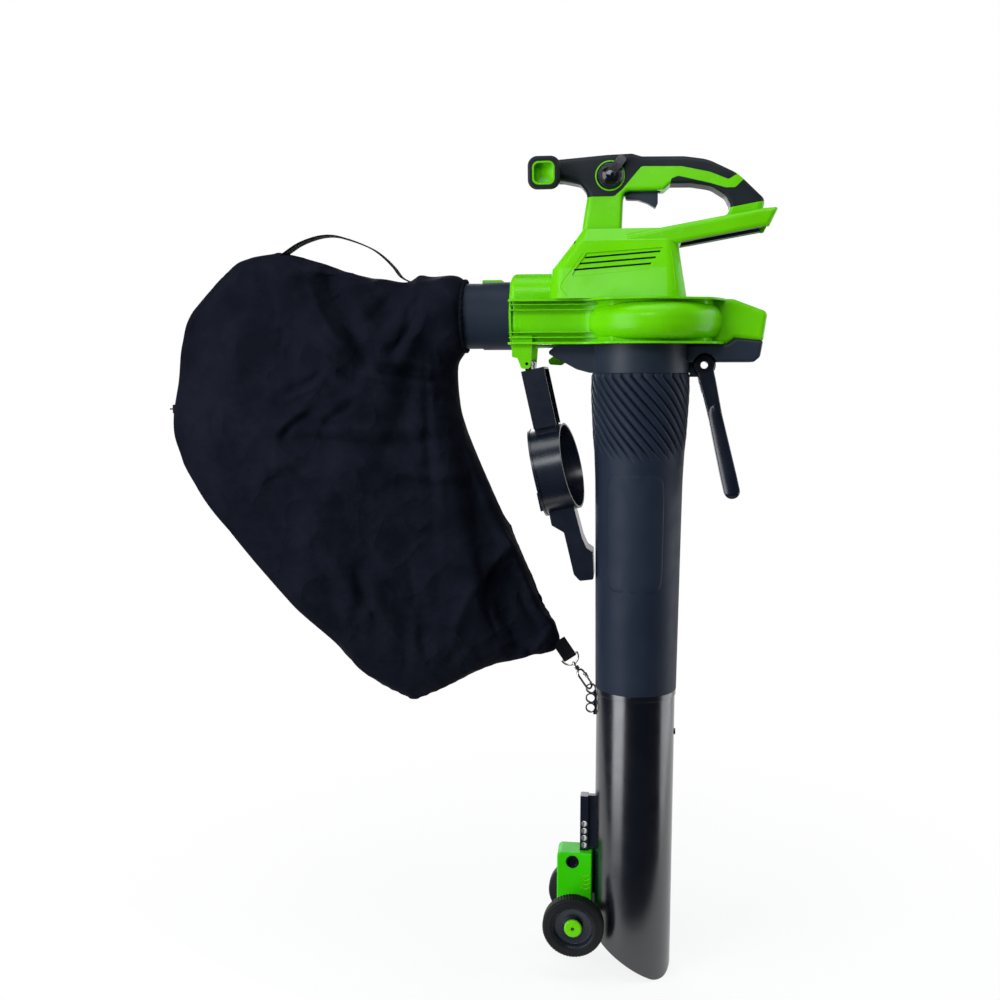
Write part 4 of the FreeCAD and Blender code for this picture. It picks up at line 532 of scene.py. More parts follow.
PANEL_ANGLE, PANEL_HALF_ANGLE = math.radians(-95), math.radians(40)
PANEL_Z, PANEL_HALF = -0.456, 0.0755
PANEL_LIFT = 0.0006
face = np.concatenate([np.linspace(0.02, 0.992, 18), [1.0]])
size = np.concatenate([face, face[::-1]])[:, None]
rise = np.concatenate([np.full(18, PANEL_LIFT), [PANEL_LIFT / 2], np.full(19, -PANEL_LIFT)])
a, b = squared(120, 0.25, 0.25)
panel_z = PANEL_Z + PANEL_HALF * size * b
panel = round_tube(tube_radius(panel_z) + rise[:, None],
                   PANEL_ANGLE + PANEL_HALF_ANGLE * size * a, panel_z)
piece("upper_tube_panel", panel, tube_plastic, "blower", sharp=60)

# %% [markdown]
# ## Reading and changing a mesh
#
# The bag is worked on in stages: its points are read into an array, moved by a formula, and written
# back, and modifiers are applied between the stages.  Working on whole arrays keeps each stage a
# few lines long, and a modifier does what would be long to write, such as an even mesh.

# %% Reading and changing a mesh


def read(items, key="co"):
    """A vector of each vertex, or of each vertex normal, as rows."""
    out = np.empty(len(items) * 3)
    items.foreach_get(key, out)
    return out.reshape(-1, 3)


def write_points(mesh, points):
    """Moves the mesh's vertices to these points."""
    mesh.vertices.foreach_set("co", points.reshape(-1))
    mesh.update()


def finished(made):
    """The object's mesh with its modifiers applied, as a new mesh."""
    bpy.context.view_layer.update()
    graph = bpy.context.evaluated_depsgraph_get()
    return bpy.data.meshes.new_from_object(made.evaluated_get(graph), depsgraph=graph)


def modified(mesh, *steps):
    """The mesh after a row of modifiers, each a kind and its settings, as a new mesh."""
    draft = placed("draft", mesh)
    for kind, settings in steps:
        put(draft.modifiers.new(kind, kind), **settings)
    result = finished(draft)
    bpy.data.objects.remove(draft)
    return result


# %% [markdown]
# ## Leaf bag: the cut shape
#
# The real bag is two panels of cloth sewn round their edge, blown up by the fan and hanging from
# the nozzle and from the snap hook.  The starting form is a loft of soft ellipses from the top edge
# down to the corner at the bottom, joined to a short gathered neck that goes over the nozzle's
# cuff.  Both are closed, and a voxel remesh turns them into one skin of even squares for the cloth
# to move.

# %% Leaf bag: the cut shape

# Rows of level, left edge, right edge and half thickness, in millimetres
BAG_ROWS = np.array([
    (-91, -525, -496, 5), (-95, -547, -478, 15), (-104, -575, -437, 27), (-115, -590, -405, 37),
    (-127, -605, -368, 45), (-140, -618, -300, 52), (-160, -636, -262, 58),
    (-181, -650, -258, 63), (-219, -657, -262, 69), (-263, -657, -264, 74),
    (-300, -662, -261, 77), (-332, -666, -251, 78), (-373, -656, -234, 78),
    (-423, -625, -211, 75), (-460, -594, -192, 71), (-500, -563, -171, 66),
    (-538, -531, -152, 60), (-570, -503, -138, 53), (-598, -472, -126, 45),
    (-616, -452, -122, 39), (-628, -443, -129, 34), (-638, -435, -205, 29),
    (-655, -420, -245, 22), (-680, -382, -290, 12), (-696, -352, -325, 4)]) / 1000
INSET = 0.004             # the pressure brings the cloth back out to its outline
VOXEL = 0.0065


def bag_form(rows=90, columns=120):
    """Loft of soft ellipses: at each level the half width runs from the left edge to the right
    edge, and the half thickness follows a sine raised to 0.85, fuller than an ellipse."""
    z = np.linspace(BAG_ROWS[0, 0], BAG_ROWS[-1, 0], rows)
    left, right, half = (np.interp(-z, -BAG_ROWS[:, 0], BAG_ROWS[:, k]) for k in (1, 2, 3))
    width = np.maximum((right - left) / 2 - INSET, 0.003)[:, None]
    depth = np.maximum(half - INSET, 0.002)[:, None]
    a, b = squared(columns, 1.0, 0.85)
    return stacked(((left + right) / 2)[:, None] + width * a, NOZZLE_Y + depth * b, z[:, None])


NECK_LINE = smooth_line([(-0.2555, 0.0445), (-0.2565, 0.0480), (-0.2610, 0.0530),
                         (-0.2740, 0.0555), (-0.2860, 0.0545), (-0.2960, 0.0520),
                         (-0.3060, 0.0515), (-0.3200, 0.0560)], 26)


def round_nozzle(x, radius, turn):
    """Points at these radii and angles about the nozzle's axis."""
    return stacked(x, NOZZLE_Y + radius * np.cos(turn), NOZZLE_Z + radius * np.sin(turn))


def neck_form():
    """Gathered neck about the nozzle's axis: a profile of (x, radius) turned round it, with puffs
    that grow away from the hem and shift round from the hem to the bag."""
    turn = whole_turn(96)
    x, radius = NECK_LINE[:, :1], NECK_LINE[:, 1:]
    loose = np.clip((-0.257 - x) / 0.012, 0, 1)
    puff = 0.0017 * np.sin(7 * turn + 0.6 + 72 * x) + 0.0010 * np.sin(12 * turn - 90 * x)
    return round_nozzle(x, radius + loose * puff, turn)


vertices, faces = grid_arrays(bag_form())
neck_vertices, neck_faces = grid_arrays(neck_form())
faces += [[index + len(vertices) for index in polygon] for polygon in neck_faces]
cut = bpy.data.meshes.new("bag_cut")
cut.from_pydata(np.concatenate([vertices, neck_vertices]).tolist(), [], faces)
cloth_mesh = modified(cut, ("REMESH", {"mode": "VOXEL", "voxel_size": VOXEL}),
                      ("SMOOTH", {"factor": 0.5, "iterations": 9}))
print("bag skin:", len(cloth_mesh.vertices), "points")

# %% [markdown]
# ## Leaf bag: blown up as cloth
#
# The skin gets a little more cloth than its form needs, is held at the neck, along the top where
# the strap is sewn and at the tab's corner, and is filled with slight pressure.  The spare cloth
# gathers into folds between the held places, which is what a half-filled bag does.  The cloth may
# move up to 10 millimetres, mostly across the bag, so that the bag keeps its outline.

# %% Leaf bag: blown up as cloth

# The strap's two ends and the tab's corner
HELD_SPOTS = np.array([(-0.532, NOZZLE_Y, -0.097), (-0.330, NOZZLE_Y, -0.133),
                       (-0.124, NOZZLE_Y, -0.622)])
HELD_LEVELS = (0.25, 0.5, 0.75, 1.0)
HELD_R, HELD_FADE = 0.046, 0.024      # reach of a held spot, and the part of it that fades
SPARE_CLOTH = 0.045                   # share by which the cloth is longer than its form
LAST_STEP = 26
SHIFT_SHARE = np.array([0.3, 1.0, 0.3])
LONGEST_SHIFT = 0.010


def held_amount(points):
    """1 where the cloth is held, fading to 0: round the neck, at the strap's ends, at the tab."""
    from_axis = np.hypot(points[:, 1] - NOZZLE_Y, points[:, 2] - NOZZLE_Z)
    neck = (np.clip((points[:, 0] + 0.325) / 0.02, 0, 1)
            * np.clip((0.075 - from_axis) / 0.012, 0, 1))
    near = np.linalg.norm(points[:, None, :] - HELD_SPOTS[None], axis=2).min(1)
    return np.maximum(neck, np.clip((HELD_R - near) / HELD_FADE, 0, 1))


start = read(cloth_mesh.vertices)
dummy = placed("bag_cloth", cloth_mesh)
group = dummy.vertex_groups.new(name="held")
amount = np.round(held_amount(start) * len(HELD_LEVELS))
for index, level in enumerate(HELD_LEVELS):
    group.add(np.nonzero(amount == index + 1)[0].tolist(), level, "REPLACE")
cloth = dummy.modifiers.new("cloth", "CLOTH")
put(cloth.settings, quality=5, mass=0.25, tension_stiffness=18, compression_stiffness=18,
    shear_stiffness=6, bending_stiffness=0.35, air_damping=2.0, shrink_min=-SPARE_CLOTH,
    shrink_max=-SPARE_CLOTH, use_pressure=True, uniform_pressure_force=2.2,
    vertex_group_mass="held")
cloth.settings.effector_weights.gravity = 0.15
put(cloth.collision_settings, use_collision=False, use_self_collision=False)
put(cloth.point_cache, frame_start=1, frame_end=LAST_STEP)
for frame_number in range(1, LAST_STEP + 1):
    bpy.context.scene.frame_set(frame_number)
moved = read(finished(dummy).vertices)
bpy.context.scene.frame_set(1)
bpy.data.objects.remove(dummy)
shift = (moved - start) * SHIFT_SHARE
length = np.linalg.norm(shift, axis=1, keepdims=True)
shift = shift * np.minimum(1.0, LONGEST_SHIFT / np.maximum(length, 1e-9))
write_points(cloth_mesh, start + shift)
print("cloth moved up to", round(float(length.max()) * 1000, 1), "mm, mean",
      round(float(length.mean()) * 1000, 1))

# %% [markdown]
# ## Leaf bag: the shape of a fold
#
# A simulation alone leaves the cloth too smooth, so folds are added to it by a formula.  Each fold
# is a line on the bag's side; the cloth sinks along the line and rises beside it, or rises along it
# where the depth is negative, and the fold fades at both ends.

# %% Leaf bag: the shape of a fold

FOLD_GAIN = 1.7           # one factor on every fold, so that they stay crisp on the cloth
FOLD_FADE = 0.22          # share of a fold's length over which each end fades
CREASE_POWER = 1.3        # 2 would be a round valley, 1 a sharp one
RIDGE_AT = 1.6            # widths from the crease to the ridge beside it


def fold_depth(points, line, width, depth, ridge):
    """Depth of a fold at each point: a crease of the given width across the line, less a rounded
    ridge beside it on the right, both fading over the line's ends.  The fold's own values are in
    millimetres."""
    width, depth, ridge = width / 1000, depth / 1000, ridge / 1000
    line = smooth_line(np.array(line) / 1000, 40)
    flat = points[:, [0, 2]]
    gap = flat[:, None, :] - line[None]
    distance = np.linalg.norm(gap, axis=2)
    nearest = distance.argmin(1)
    every = np.arange(len(flat))
    along = nearest / (len(line) - 1)
    tangent = unit(np.gradient(line, axis=0))
    normal = np.stack([-tangent[:, 1], tangent[:, 0]], -1)
    signed = (gap[every, nearest] * normal[nearest]).sum(1)
    beyond = np.sqrt(np.maximum(distance[every, nearest] ** 2 - signed ** 2, 0))
    ends = np.clip(np.minimum(along, 1 - along) / FOLD_FADE, 0, 1) ** 0.8
    ends = ends * np.exp(-(beyond / width) ** 2)
    crease = np.exp(-np.abs(signed / width) ** CREASE_POWER)
    beside = np.exp(-((signed - RIDGE_AT * width) / width) ** 2)
    return FOLD_GAIN * ends * (depth * crease - ridge * beside)


# %% [markdown]
# ## Leaf bag: where the folds lie
#
# The folds come from how this bag hangs: a broad valley runs from the strap's rear end to the
# middle, a crease goes on from there under the nozzle, short folds fan out from the gathered neck,
# level ones lie across the middle, and two long folds rise from the tab's corner where the hook
# pulls.  The far side gets the same folds, shifted and a little softer.

# %% Leaf bag: where the folds lie

SIDE_START, SIDE_SPAN = 0.30, 0.45    # how far the skin faces sideways before folds begin
# Each fold's line as (x, z), then its width, its depth and its ridge, in millimetres
NEAR_FOLDS = [
    ([(-446, -112), (-417, -166), (-394, -212), (-373, -253)], 15, 11, 5),
    ([(-465, -124), (-430, -187), (-385, -239)], 6, -3.2, 0),
    ([(-311, -138), (-310, -171), (-329, -204), (-351, -234)], 10, 7, 3),
    ([(-292, -146), (-283, -173), (-274, -200)], 5, 5, 3.5),
    ([(-303, -225), (-289, -192), (-284, -167)], 6, 3.5, 2),
    ([(-261, -144), (-269, -179), (-261, -213), (-254, -242)], 6, 5, -2.5),
    ([(-378, -247), (-348, -250), (-305, -255), (-262, -266)], 7, 4.5, 3.5),
    ([(-416, -246), (-391, -260), (-352, -272), (-304, -284), (-262, -288)], 9, 4, 2.6),
    ([(-433, -249), (-452, -263), (-473, -272), (-488, -281)], 5, 3.4, 2.6),
    ([(-460, -204), (-436, -210), (-408, -234), (-387, -247)], 8, -3.4, 0),
    ([(-497, -191), (-491, -204), (-495, -221)], 5, 2.2, 1.6),
    ([(-495, -338), (-472, -318), (-447, -302)], 5, 3.6, 2.8),
    ([(-444, -323), (-417, -309), (-388, -285)], 7, 3, 2.8),
    ([(-515, -342), (-462, -339), (-409, -342), (-357, -344), (-262, -338)], 10, 3.6, 2.6),
    ([(-357, -392), (-305, -398), (-245, -402)], 9, 2.8, 2),
    ([(-522, -401), (-495, -388), (-454, -376)], 9, 2.4, 1.8),
    ([(-206, -491), (-218, -530), (-217, -570), (-201, -612)], 13, 7.5, -3),
    ([(-173, -446), (-209, -494), (-249, -552), (-274, -620)], 15, -6, 0),
    ([(-170, -525), (-152, -566), (-126, -606)], 7, -3.6, 0),
    ([(-185, -522), (-174, -562), (-154, -593)], 6, 3, 0),
    ([(-400, -503), (-389, -547), (-365, -596)], 12, 3.6, 2.4),
    ([(-336, -474), (-323, -518), (-321, -571)], 14, 3.2, 2.4),
    ([(-461, -477), (-440, -521), (-408, -560)], 12, 2.8, 2),
    ([(-599, -203), (-577, -242), (-574, -294)], 13, 3.2, 2),
    ([(-588, -285), (-592, -329), (-572, -372)], 9, 2.6, 1.8),
    ([(-532, -115), (-506, -161), (-503, -191)], 13, 3, 2),
]
FAR_FOLDS = [([(x - 12, z + 10) for x, z in line], width * 1.15, depth * 0.9, ridge)
             for line, width, depth, ridge in NEAR_FOLDS]


def bag_folds(points, normals):
    """Moves each side's points in along their normals by the sum of that side's folds, with a slow
    ripple of a millimetre and none where the cloth is held or at the sewn edge."""
    near = np.clip((-normals[:, 1] - SIDE_START) / SIDE_SPAN, 0, 1)
    far = np.clip((normals[:, 1] - SIDE_START) / SIDE_SPAN, 0, 1)
    sunk = sum(fold_depth(points, *fold) for fold in NEAR_FOLDS) * near
    sunk = sunk + sum(fold_depth(points, *fold) for fold in FAR_FOLDS) * far
    x, z = points[:, 0], points[:, 2]
    ripple = (np.sin(38 * x + 21 * z + 1.1) * np.sin(47 * z - 12 * x + 0.4) * 0.0011
              + np.sin(95 * x - 60 * z + 2.0) * np.sin(80 * z + 35 * x) * 0.0005)
    free = 1 - held_amount(points)
    print("folds sink up to", round(float((sunk * free).max()) * 1000, 1), "mm and rise up to",
          round(float(-(sunk * free).min()) * 1000, 1), "mm")
    return points - normals * ((sunk + ripple * (near + far)) * free)[:, None]


cloth_mesh = modified(cloth_mesh, ("SUBSURF", {"levels": 1, "render_levels": 1}))
folded = bag_folds(read(cloth_mesh.vertices), read(cloth_mesh.vertex_normals, "vector"))

# %% [markdown]
# ## Leaf bag: zip edge, mouth and thickness
#
# The cloth is drawn out to the zip's slider, so that the slider sits on it.  The mouth is cut open
# where the cuff goes in, and the skin then gets the cloth's thickness inwards.

# %% Leaf bag: zip edge, mouth and thickness

CLOTH_THICK = 0.0012
MOUTH_X = -0.2590         # the skin in front of this, inside the nozzle's radius, is the mouth


def meet_slider(points):
    """Draws the front edge out until the skin meets the zip's slider: a bell of 50 mm along the
    edge, which grows from nothing to all of it over the last 40 mm across the bag."""
    slider_low, slider_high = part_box("zip_pull")
    middle = (np.array(slider_low) + np.array(slider_high)) / 2
    from_slider = np.hypot(points[:, 1] - middle[1], points[:, 2] - middle[2])
    close = (from_slider < 0.010) & (points[:, 0] < -0.60)
    gap = 0.0
    if close.any():
        gap = float(np.clip(points[close, 0].min() - slider_high[0] + 0.0015, 0, 0.012))
    share = np.exp(-((points[:, 2] - middle[2]) / 0.05) ** 2)
    share = share * np.clip((-0.610 - points[:, 0]) / 0.040, 0, 1)
    print("front edge drawn out by", round(gap * 1000, 1), "mm")
    return points - np.array([1.0, 0.0, 0.0]) * (gap * share)[:, None]


write_points(cloth_mesh, meet_slider(folded))
work = bmesh.new()
work.from_mesh(cloth_mesh)
mouth = [v for v in work.verts
         if v.co.x > MOUTH_X and math.hypot(v.co.y - NOZZLE_Y, v.co.z - NOZZLE_Z) < NOZZLE_R]
bmesh.ops.delete(work, geom=mouth, context="VERTS")
bmesh.ops.recalc_face_normals(work, faces=work.faces)
work.to_mesh(cloth_mesh)
work.free()
bag_mesh = modified(cloth_mesh, ("SOLIDIFY", {"thickness": CLOTH_THICK, "offset": -1.0}))
bag = finish_piece("leaf_bag_cloth", bag_mesh, bag_cloth, "blower", sharp=80)
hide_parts("leaf_bag")
skin = read(bag_mesh.vertices)
print("bag box", skin.min(0).round(4), skin.max(0).round(4))

# %% [markdown]
# ## Neck hem
#
# The bag's mouth ends in a sewn hem with an elastic cord in it, which grips the nozzle.  It is a
# small torus whose radius dips at each gather.

# %% Neck hem

HEM_X, HEM_R, HEM_THICK = -0.2568, 0.0459, 0.0022
turn = whole_turn(220)[:, None]
small = whole_turn(14)
hem_r = HEM_THICK * (1 + 0.16 * np.sin(34 * turn) + 0.08 * np.sin(13 * turn + 1.0))
hem = round_nozzle(HEM_X + hem_r * 1.25 * np.cos(small), HEM_R + hem_r * np.sin(small), turn)
hem = np.concatenate([hem, hem[:1]], 0)
piece("bag_neck_hem", hem, bag_cloth, "blower", caps=False)

# %% [markdown]
# ## Zip
#
# A zip closes the bag's front edge: two tapes with teeth between them, lying on the cloth.  The
# strip follows the bag's own skin, read from its points as a mean that fades with the distance, and
# stands a fraction of a millimetre proud.

# %% Zip

TAPE_HALF, TEETH_HALF = 0.0095, 0.0030
REACH = 0.006             # distance at which the mean has nearly faded
zip_z = np.linspace(-0.165, -0.480, 150)
zip_y = np.linspace(-TAPE_HALF, TAPE_HALF, 13)
front = np.interp(-skin[:, 2], -BAG_ROWS[:, 0], BAG_ROWS[:, 1])
edge = skin[skin[:, 0] < front + 0.05]
want_y, want_z = np.meshgrid(NOZZLE_Y + zip_y, zip_z)
gap = ((edge[None, :, 1] - want_y.reshape(-1, 1)) ** 2
       + (edge[None, :, 2] - want_z.reshape(-1, 1)) ** 2)
weight = np.exp(-gap / (2 * REACH ** 2))
skin_x = ((weight * edge[None, :, 0]).sum(1) / weight.sum(1)).reshape(want_y.shape)
tooth = np.clip(1 - np.abs(zip_y) / TEETH_HALF, 0, 1)
thin = np.clip((np.abs(zip_y) / TAPE_HALF - 0.85) / 0.15, 0, 1)
out = stacked(skin_x - (0.0010 + 0.0012 * tooth - 0.0009 * thin), want_y, want_z)
inside = stacked(skin_x + CLOTH_THICK, want_y, want_z)[:, ::-1]
piece("bag_zip_tape", np.concatenate([out, inside], 1), webbing, "blower", sharp=60)

# %% [markdown]
# ## Carrying strap and hook tab
#
# The strap is flat webbing, sewn to the bag's top at both ends and bowed up between them, with a
# turned edge.  Its section is a flat rounded rectangle carried along a smooth line.  The tab is the
# same webbing, folded round the straight bar of the D ring and sewn to the bag's corner.

# %% Carrying strap and hook tab


def webbing_band(name, line, side, width, thick):
    """Band along a smooth line: its section is a rounded rectangle, width across the side
    direction and thick across the line's normal; the sewn ends taper to half thickness."""
    side = np.asarray(side, float)
    up = unit(np.cross(side[None, :], unit(np.gradient(line, axis=0))))
    a, b = squared(40, 0.35, 0.6)
    run = np.linspace(0, 1, len(line))
    slim = 0.55 + 0.45 * np.clip(np.minimum(run, 1 - run) / 0.03, 0, 1)
    points = (line[:, None, :] + side * (a * width / 2)[None, :, None]
              + up[:, None, :] * (b[None, :] * thick / 2 * slim[:, None])[:, :, None])
    return piece(name, points, webbing, "blower", sharp=70)


STRAP = np.array([(-517, -101.5), (-506, -97.0), (-496, -90.5), (-484, -83.0), (-470, -77.0),
                  (-455, -72.8), (-442, -71.2), (-430, -72.0), (-418, -75), (-400, -81),
                  (-380, -90), (-365, -101), (-352, -114), (-342, -126.5),
                  (-326, -134.5)]) / 1000
strap_line = smooth_line(STRAP, 160)
strap_line = stacked(strap_line[:, 0], NOZZLE_Y, strap_line[:, 1])
strap = webbing_band("bag_strap", strap_line, (0, 1, 0), width=0.0245, thick=0.0019)
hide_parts("bag_handle_strap")

# The hook's place on the strip, its lean, and the height of the ring's bar above its bend
LEAN = math.radians(34.5)
HOOK_REACH = 0.00605
BEND_R, LOOP_LENGTH, NECK, RING_R = 0.0055, 0.018, 0.0105, 0.012
BAR_H = BEND_R + LOOP_LENGTH + NECK + RING_R
TAB_LENGTH = 0.026
pull_up = np.array([-math.sin(LEAN), 0.0, math.cos(LEAN)])
pull_across = np.array([math.cos(LEAN), 0.0, math.sin(LEAN)])
hook_origin = np.array([-0.0866, 0.0, -0.6738]) + HOOK_REACH * pull_up
heights = np.linspace(BAR_H + TAB_LENGTH, BAR_H + 0.002, 16)
loop = [(0.0011, h) for h in heights]
loop += [(0.0026 * np.cos(a), BAR_H - 0.0026 * np.sin(a)) for a in np.linspace(0, np.pi, 15)]
loop += [(-0.0011, h) for h in heights[::-1]]
loop = smooth_line(loop, 90)
tab_line = hook_origin + loop[:, 1:] * pull_up + loop[:, :1] * np.array([0.0, 1.0, 0.0])
tab = webbing_band("bag_hook_tab", tab_line, pull_across, width=0.0190, thick=0.0017)
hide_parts("bag_tab")
print("tab's line", tab_line.min(0).round(4), tab_line.max(0).round(4))

# %% [markdown]
# ## Tyres
#
# Each wheel has a hard rubber tyre with a fine cross-cut tread on its running face and a raised
# bead where it meets the disc.  The tyre is its section turned about the axle; the tread is a row
# of shallow bars that stop short of the shoulders.

# %% Tyres

WHEEL_X, WHEEL_Z = -0.1047, -0.9854
TYRE_Y = 0.052            # middle of the tyre's section
axle_middle = (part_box("tyre_left")[0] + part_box("tyre_left")[1]) / 2
print("wheel middle", round(axle_middle.x, 4), round(axle_middle.z, 4))
SECTION = np.array([(27.7, 60.6), (29.0, 61.5), (31.0, 61.9), (34.5, 61.9), (37.2, 61.7),
                    (39.2, 61.1), (40.4, 60.0), (41.0, 58.2), (41.0, 55.0), (41.0, 52.0),
                    (41.0, 49.0), (41.0, 45.8), (40.4, 44.0), (39.2, 42.9), (37.2, 42.3),
                    (34.5, 42.1), (31.0, 42.1), (29.0, 42.5), (27.7, 43.4)]) / 1000
BARS, BAR_COLUMNS = 60, 6
TREAD_DEPTH, RING_DEPTH, RING_WIDTH = 0.0009, 0.0005, 0.0005


def tyre_points(mirror):
    """Section turned round the axle: the running face drops 0.9 mm between bars, less at its
    edges, and two shallow rings are pressed into the side wall."""
    turn = whole_turn(BARS * BAR_COLUMNS)
    line = smooth_line(SECTION, 56)
    cell = np.arange(BARS * BAR_COLUMNS) % BAR_COLUMNS / BAR_COLUMNS
    cut = np.where((cell > 0.55) & (cell < 0.95), 1.0, 0.0)
    face = np.clip((line[:, 0] - 0.0392) / 0.0014, 0, 1)
    rings = sum(np.exp(-((line[:, 0] - r) / RING_WIDTH) ** 2) for r in (0.0335, 0.0362))
    sideways = np.sign(line[:, 1] - TYRE_Y)
    r = line[:, :1] - TREAD_DEPTH * face[:, None] * cut[None, :]
    y = (line[:, 1] - sideways * rings * RING_DEPTH)[:, None] * (-1 if mirror else 1)
    return stacked(WHEEL_X + r * np.cos(turn), y, WHEEL_Z + r * np.sin(turn))


for side, mirror in (("left", True), ("right", False)):
    rows = tyre_points(mirror)
    rows = np.concatenate([rows, rows[:1]], 0)
    tyre = piece("tyre_" + side + "_tread", rows, tyre_rubber, "wheel_" + side,
                 caps=False, sharp=30)
    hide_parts("tyre_" + side)

# %% [markdown]
# ## Marks on the foot's carriage
#
# Four small raised chevrons on the carriage's near face point down to the wheel.  Each is a bent
# bar with a rounded section.

# %% Marks on the foot's carriage

CHEVRON = np.array([(-0.0965, 0.0030), (-0.0935, 0.0010), (-0.0905, 0.0), (-0.0875, 0.0010),
                    (-0.0845, 0.0030)])
CHEVRON_TOP, CHEVRON_PITCH = -0.9325, 0.0062


def bar_along(line, half_width, rise, face_y):
    """Low rounded bar on an upright face: its section is half an ellipse standing off the face."""
    line = smooth_line(line, 24)
    along = unit(np.gradient(line, axis=0))
    across = np.stack([-along[:, 1], along[:, 0]], -1)
    turn = whole_turn(12)
    flat = line[:, None, :] + across[:, None, :] * (np.cos(turn) * half_width)[None, :, None]
    return stacked(flat[..., 0], face_y + np.sin(turn) * rise, flat[..., 1])


carriage_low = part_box("wheel_carriage")[0]
for index in range(4):
    line = CHEVRON + np.array([0.0, CHEVRON_TOP - CHEVRON_PITCH * index])
    chevron = bar_along(line, half_width=0.0008, rise=0.0005, face_y=carriage_low.y + 0.0001)
    piece(f"carriage_chevron_{index + 1}", chevron, green, "wheel_carriage", sharp=60)

# %% [markdown]
# ## Crowned faces of the clamp lever
#
# The lever's blade is rounded towards the hand, so that a long streak of light runs down it.  The
# CAD blade is flat between its rounded edges; a low crown on each side gives the real section.  A
# crown's height is a parabola across the blade, and its width follows the blade and closes round
# both ends.

# %% Crowned faces of the clamp lever

LEVER_AXIS = (0.0534, -0.2421)
LEVER_LEAN = math.radians(13.6)
CROWN_TOP, CROWN_END = 0.052, 0.1735    # along the blade, from the lever's axis
CROWN_HEIGHT = 0.0026
lever_low, lever_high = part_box("clamp_lever")
print("lever", [round(v, 4) for v in lever_low], [round(v, 4) for v in lever_high])


def lever_crown(side):
    """Rows along the blade, spaced as a cosine; the half width is the blade's less its rounding,
    and falls as a circle over the ends; the height is a parabola across the blade."""
    t = (1 - np.cos(np.linspace(0.03, np.pi - 0.02, 70))) / 2
    along = CROWN_TOP + t * (CROWN_END - CROWN_TOP)
    half = np.interp(along, [0.02, 0.068, 0.146, 0.176], [0.0105, 0.0088, 0.0101, 0.0101]) - 0.0005
    from_end = np.minimum((along - CROWN_TOP) / 0.018, (CROWN_END - along) / 0.0085)
    half = half * np.sqrt(np.clip(1 - (1 - np.clip(from_end, 0, 1)) ** 2, 0.0004, 1))
    turn = whole_turn(40)
    x = half[:, None] * np.cos(turn)
    height = np.where(np.sin(turn) > 0, np.sin(turn) ** 2, -0.1)
    y = side * (lever_high.y - 0.0002 + height * CROWN_HEIGHT * (half / half.max())[:, None])
    s = along[:, None]
    return stacked(LEVER_AXIS[0] + x * math.cos(LEVER_LEAN) + s * math.sin(LEVER_LEAN), y,
                   LEVER_AXIS[1] + x * math.sin(LEVER_LEAN) - s * math.cos(LEVER_LEAN))


SIDES = {"left": -1, "right": 1}
for label, side in SIDES.items():
    piece("clamp_lever_crown_" + label, lever_crown(side), satin_black, "clamp_lever",
          sharp=60)

# %% [markdown]
# ## Seams of the motor housing
#
# Where the side panel of the motor housing ends, the mould leaves a soft raised line.  The line is
# drawn flat, dropped on the housing along the tool's width, and given a low round section.

# %% Seams of the motor housing

# Each seam as (x, z) in millimetres
SEAMS = {"front": [(-100, -103), (-105, -110), (-117, -128), (-127, -143), (-124, -151),
                   (-117, -157.5)],
         "rear": [(6, -94), (9, -104), (12.5, -130), (14, -148), (8, -156)]}
SEAM_HALF, SEAM_RISE = 0.0006, 0.0003


def surface_drop(names, points, side):
    """Y of the outermost surface of the named CAD pieces at each (x, z), cast inwards from the
    side."""
    found = np.full(len(points), np.nan)
    for name in names:
        mesh = nodes[name].data
        tree = BVHTree.FromPolygons([v.co for v in mesh.vertices],
                                    [tuple(p.vertices) for p in mesh.polygons])
        for index, (x, z) in enumerate(points):
            hit = tree.ray_cast(Vector((x, side * 0.3, z)), Vector((0, -side, 0)))[0]
            if hit is not None and not side * hit.y <= side * found[index]:
                found[index] = hit.y
    return found


def seam_bead(name, line, side):
    """Low bead on the housing: its section is an ellipse half sunk into the surface it follows,
    which is evened out over seven points, and it thins over its ends."""
    line = smooth_line(np.array(line) / 1000, 60)
    y = surface_drop(["housing_left", "housing_right"], line, side)
    good = ~np.isnan(y)
    line, y = line[good], y[good]
    y = np.convolve(np.pad(y, 3, mode="edge"), np.ones(7) / 7, mode="valid")
    centre = stacked(line[:, 0], y, line[:, 1])
    along = unit(np.gradient(centre, axis=0))
    across = unit(np.cross(along, np.array([0.0, float(side), 0.0])))
    lift = np.cross(across, along)
    turn = whole_turn(10)
    index = np.arange(len(line))
    slim = np.clip(np.minimum(index, index[::-1]) / 6, 0.05, 1)[:, None, None]
    points = (centre[:, None, :]
              + across[:, None, :] * (np.cos(turn) * SEAM_HALF)[None, :, None] * slim
              + lift[:, None, :] * (np.sin(turn) * SEAM_RISE)[None, :, None] * slim)
    piece(name, points, green, "blower", sharp=80)


for name, line in SEAMS.items():
    for label, side in SIDES.items():
        seam_bead(f"housing_seam_{name}_{label}", line, side)

# %% [markdown]
# ## Dark sheets of painted shade behind the vents, and the front grip's floor
#
# A dark sheet stands behind the motor's air slots as painted shade, so that the slots look
# black.  The front grip's bar is hollow, and a dished green floor closes it a little way in.

# %% Dark sheets of painted shade behind the vents, and the front grip's floor

BAY_WALL, SHADE_SHEET_THICK = 0.0046, 0.0006
WAVE, WAVE_PITCH = 0.0002, 0.0015


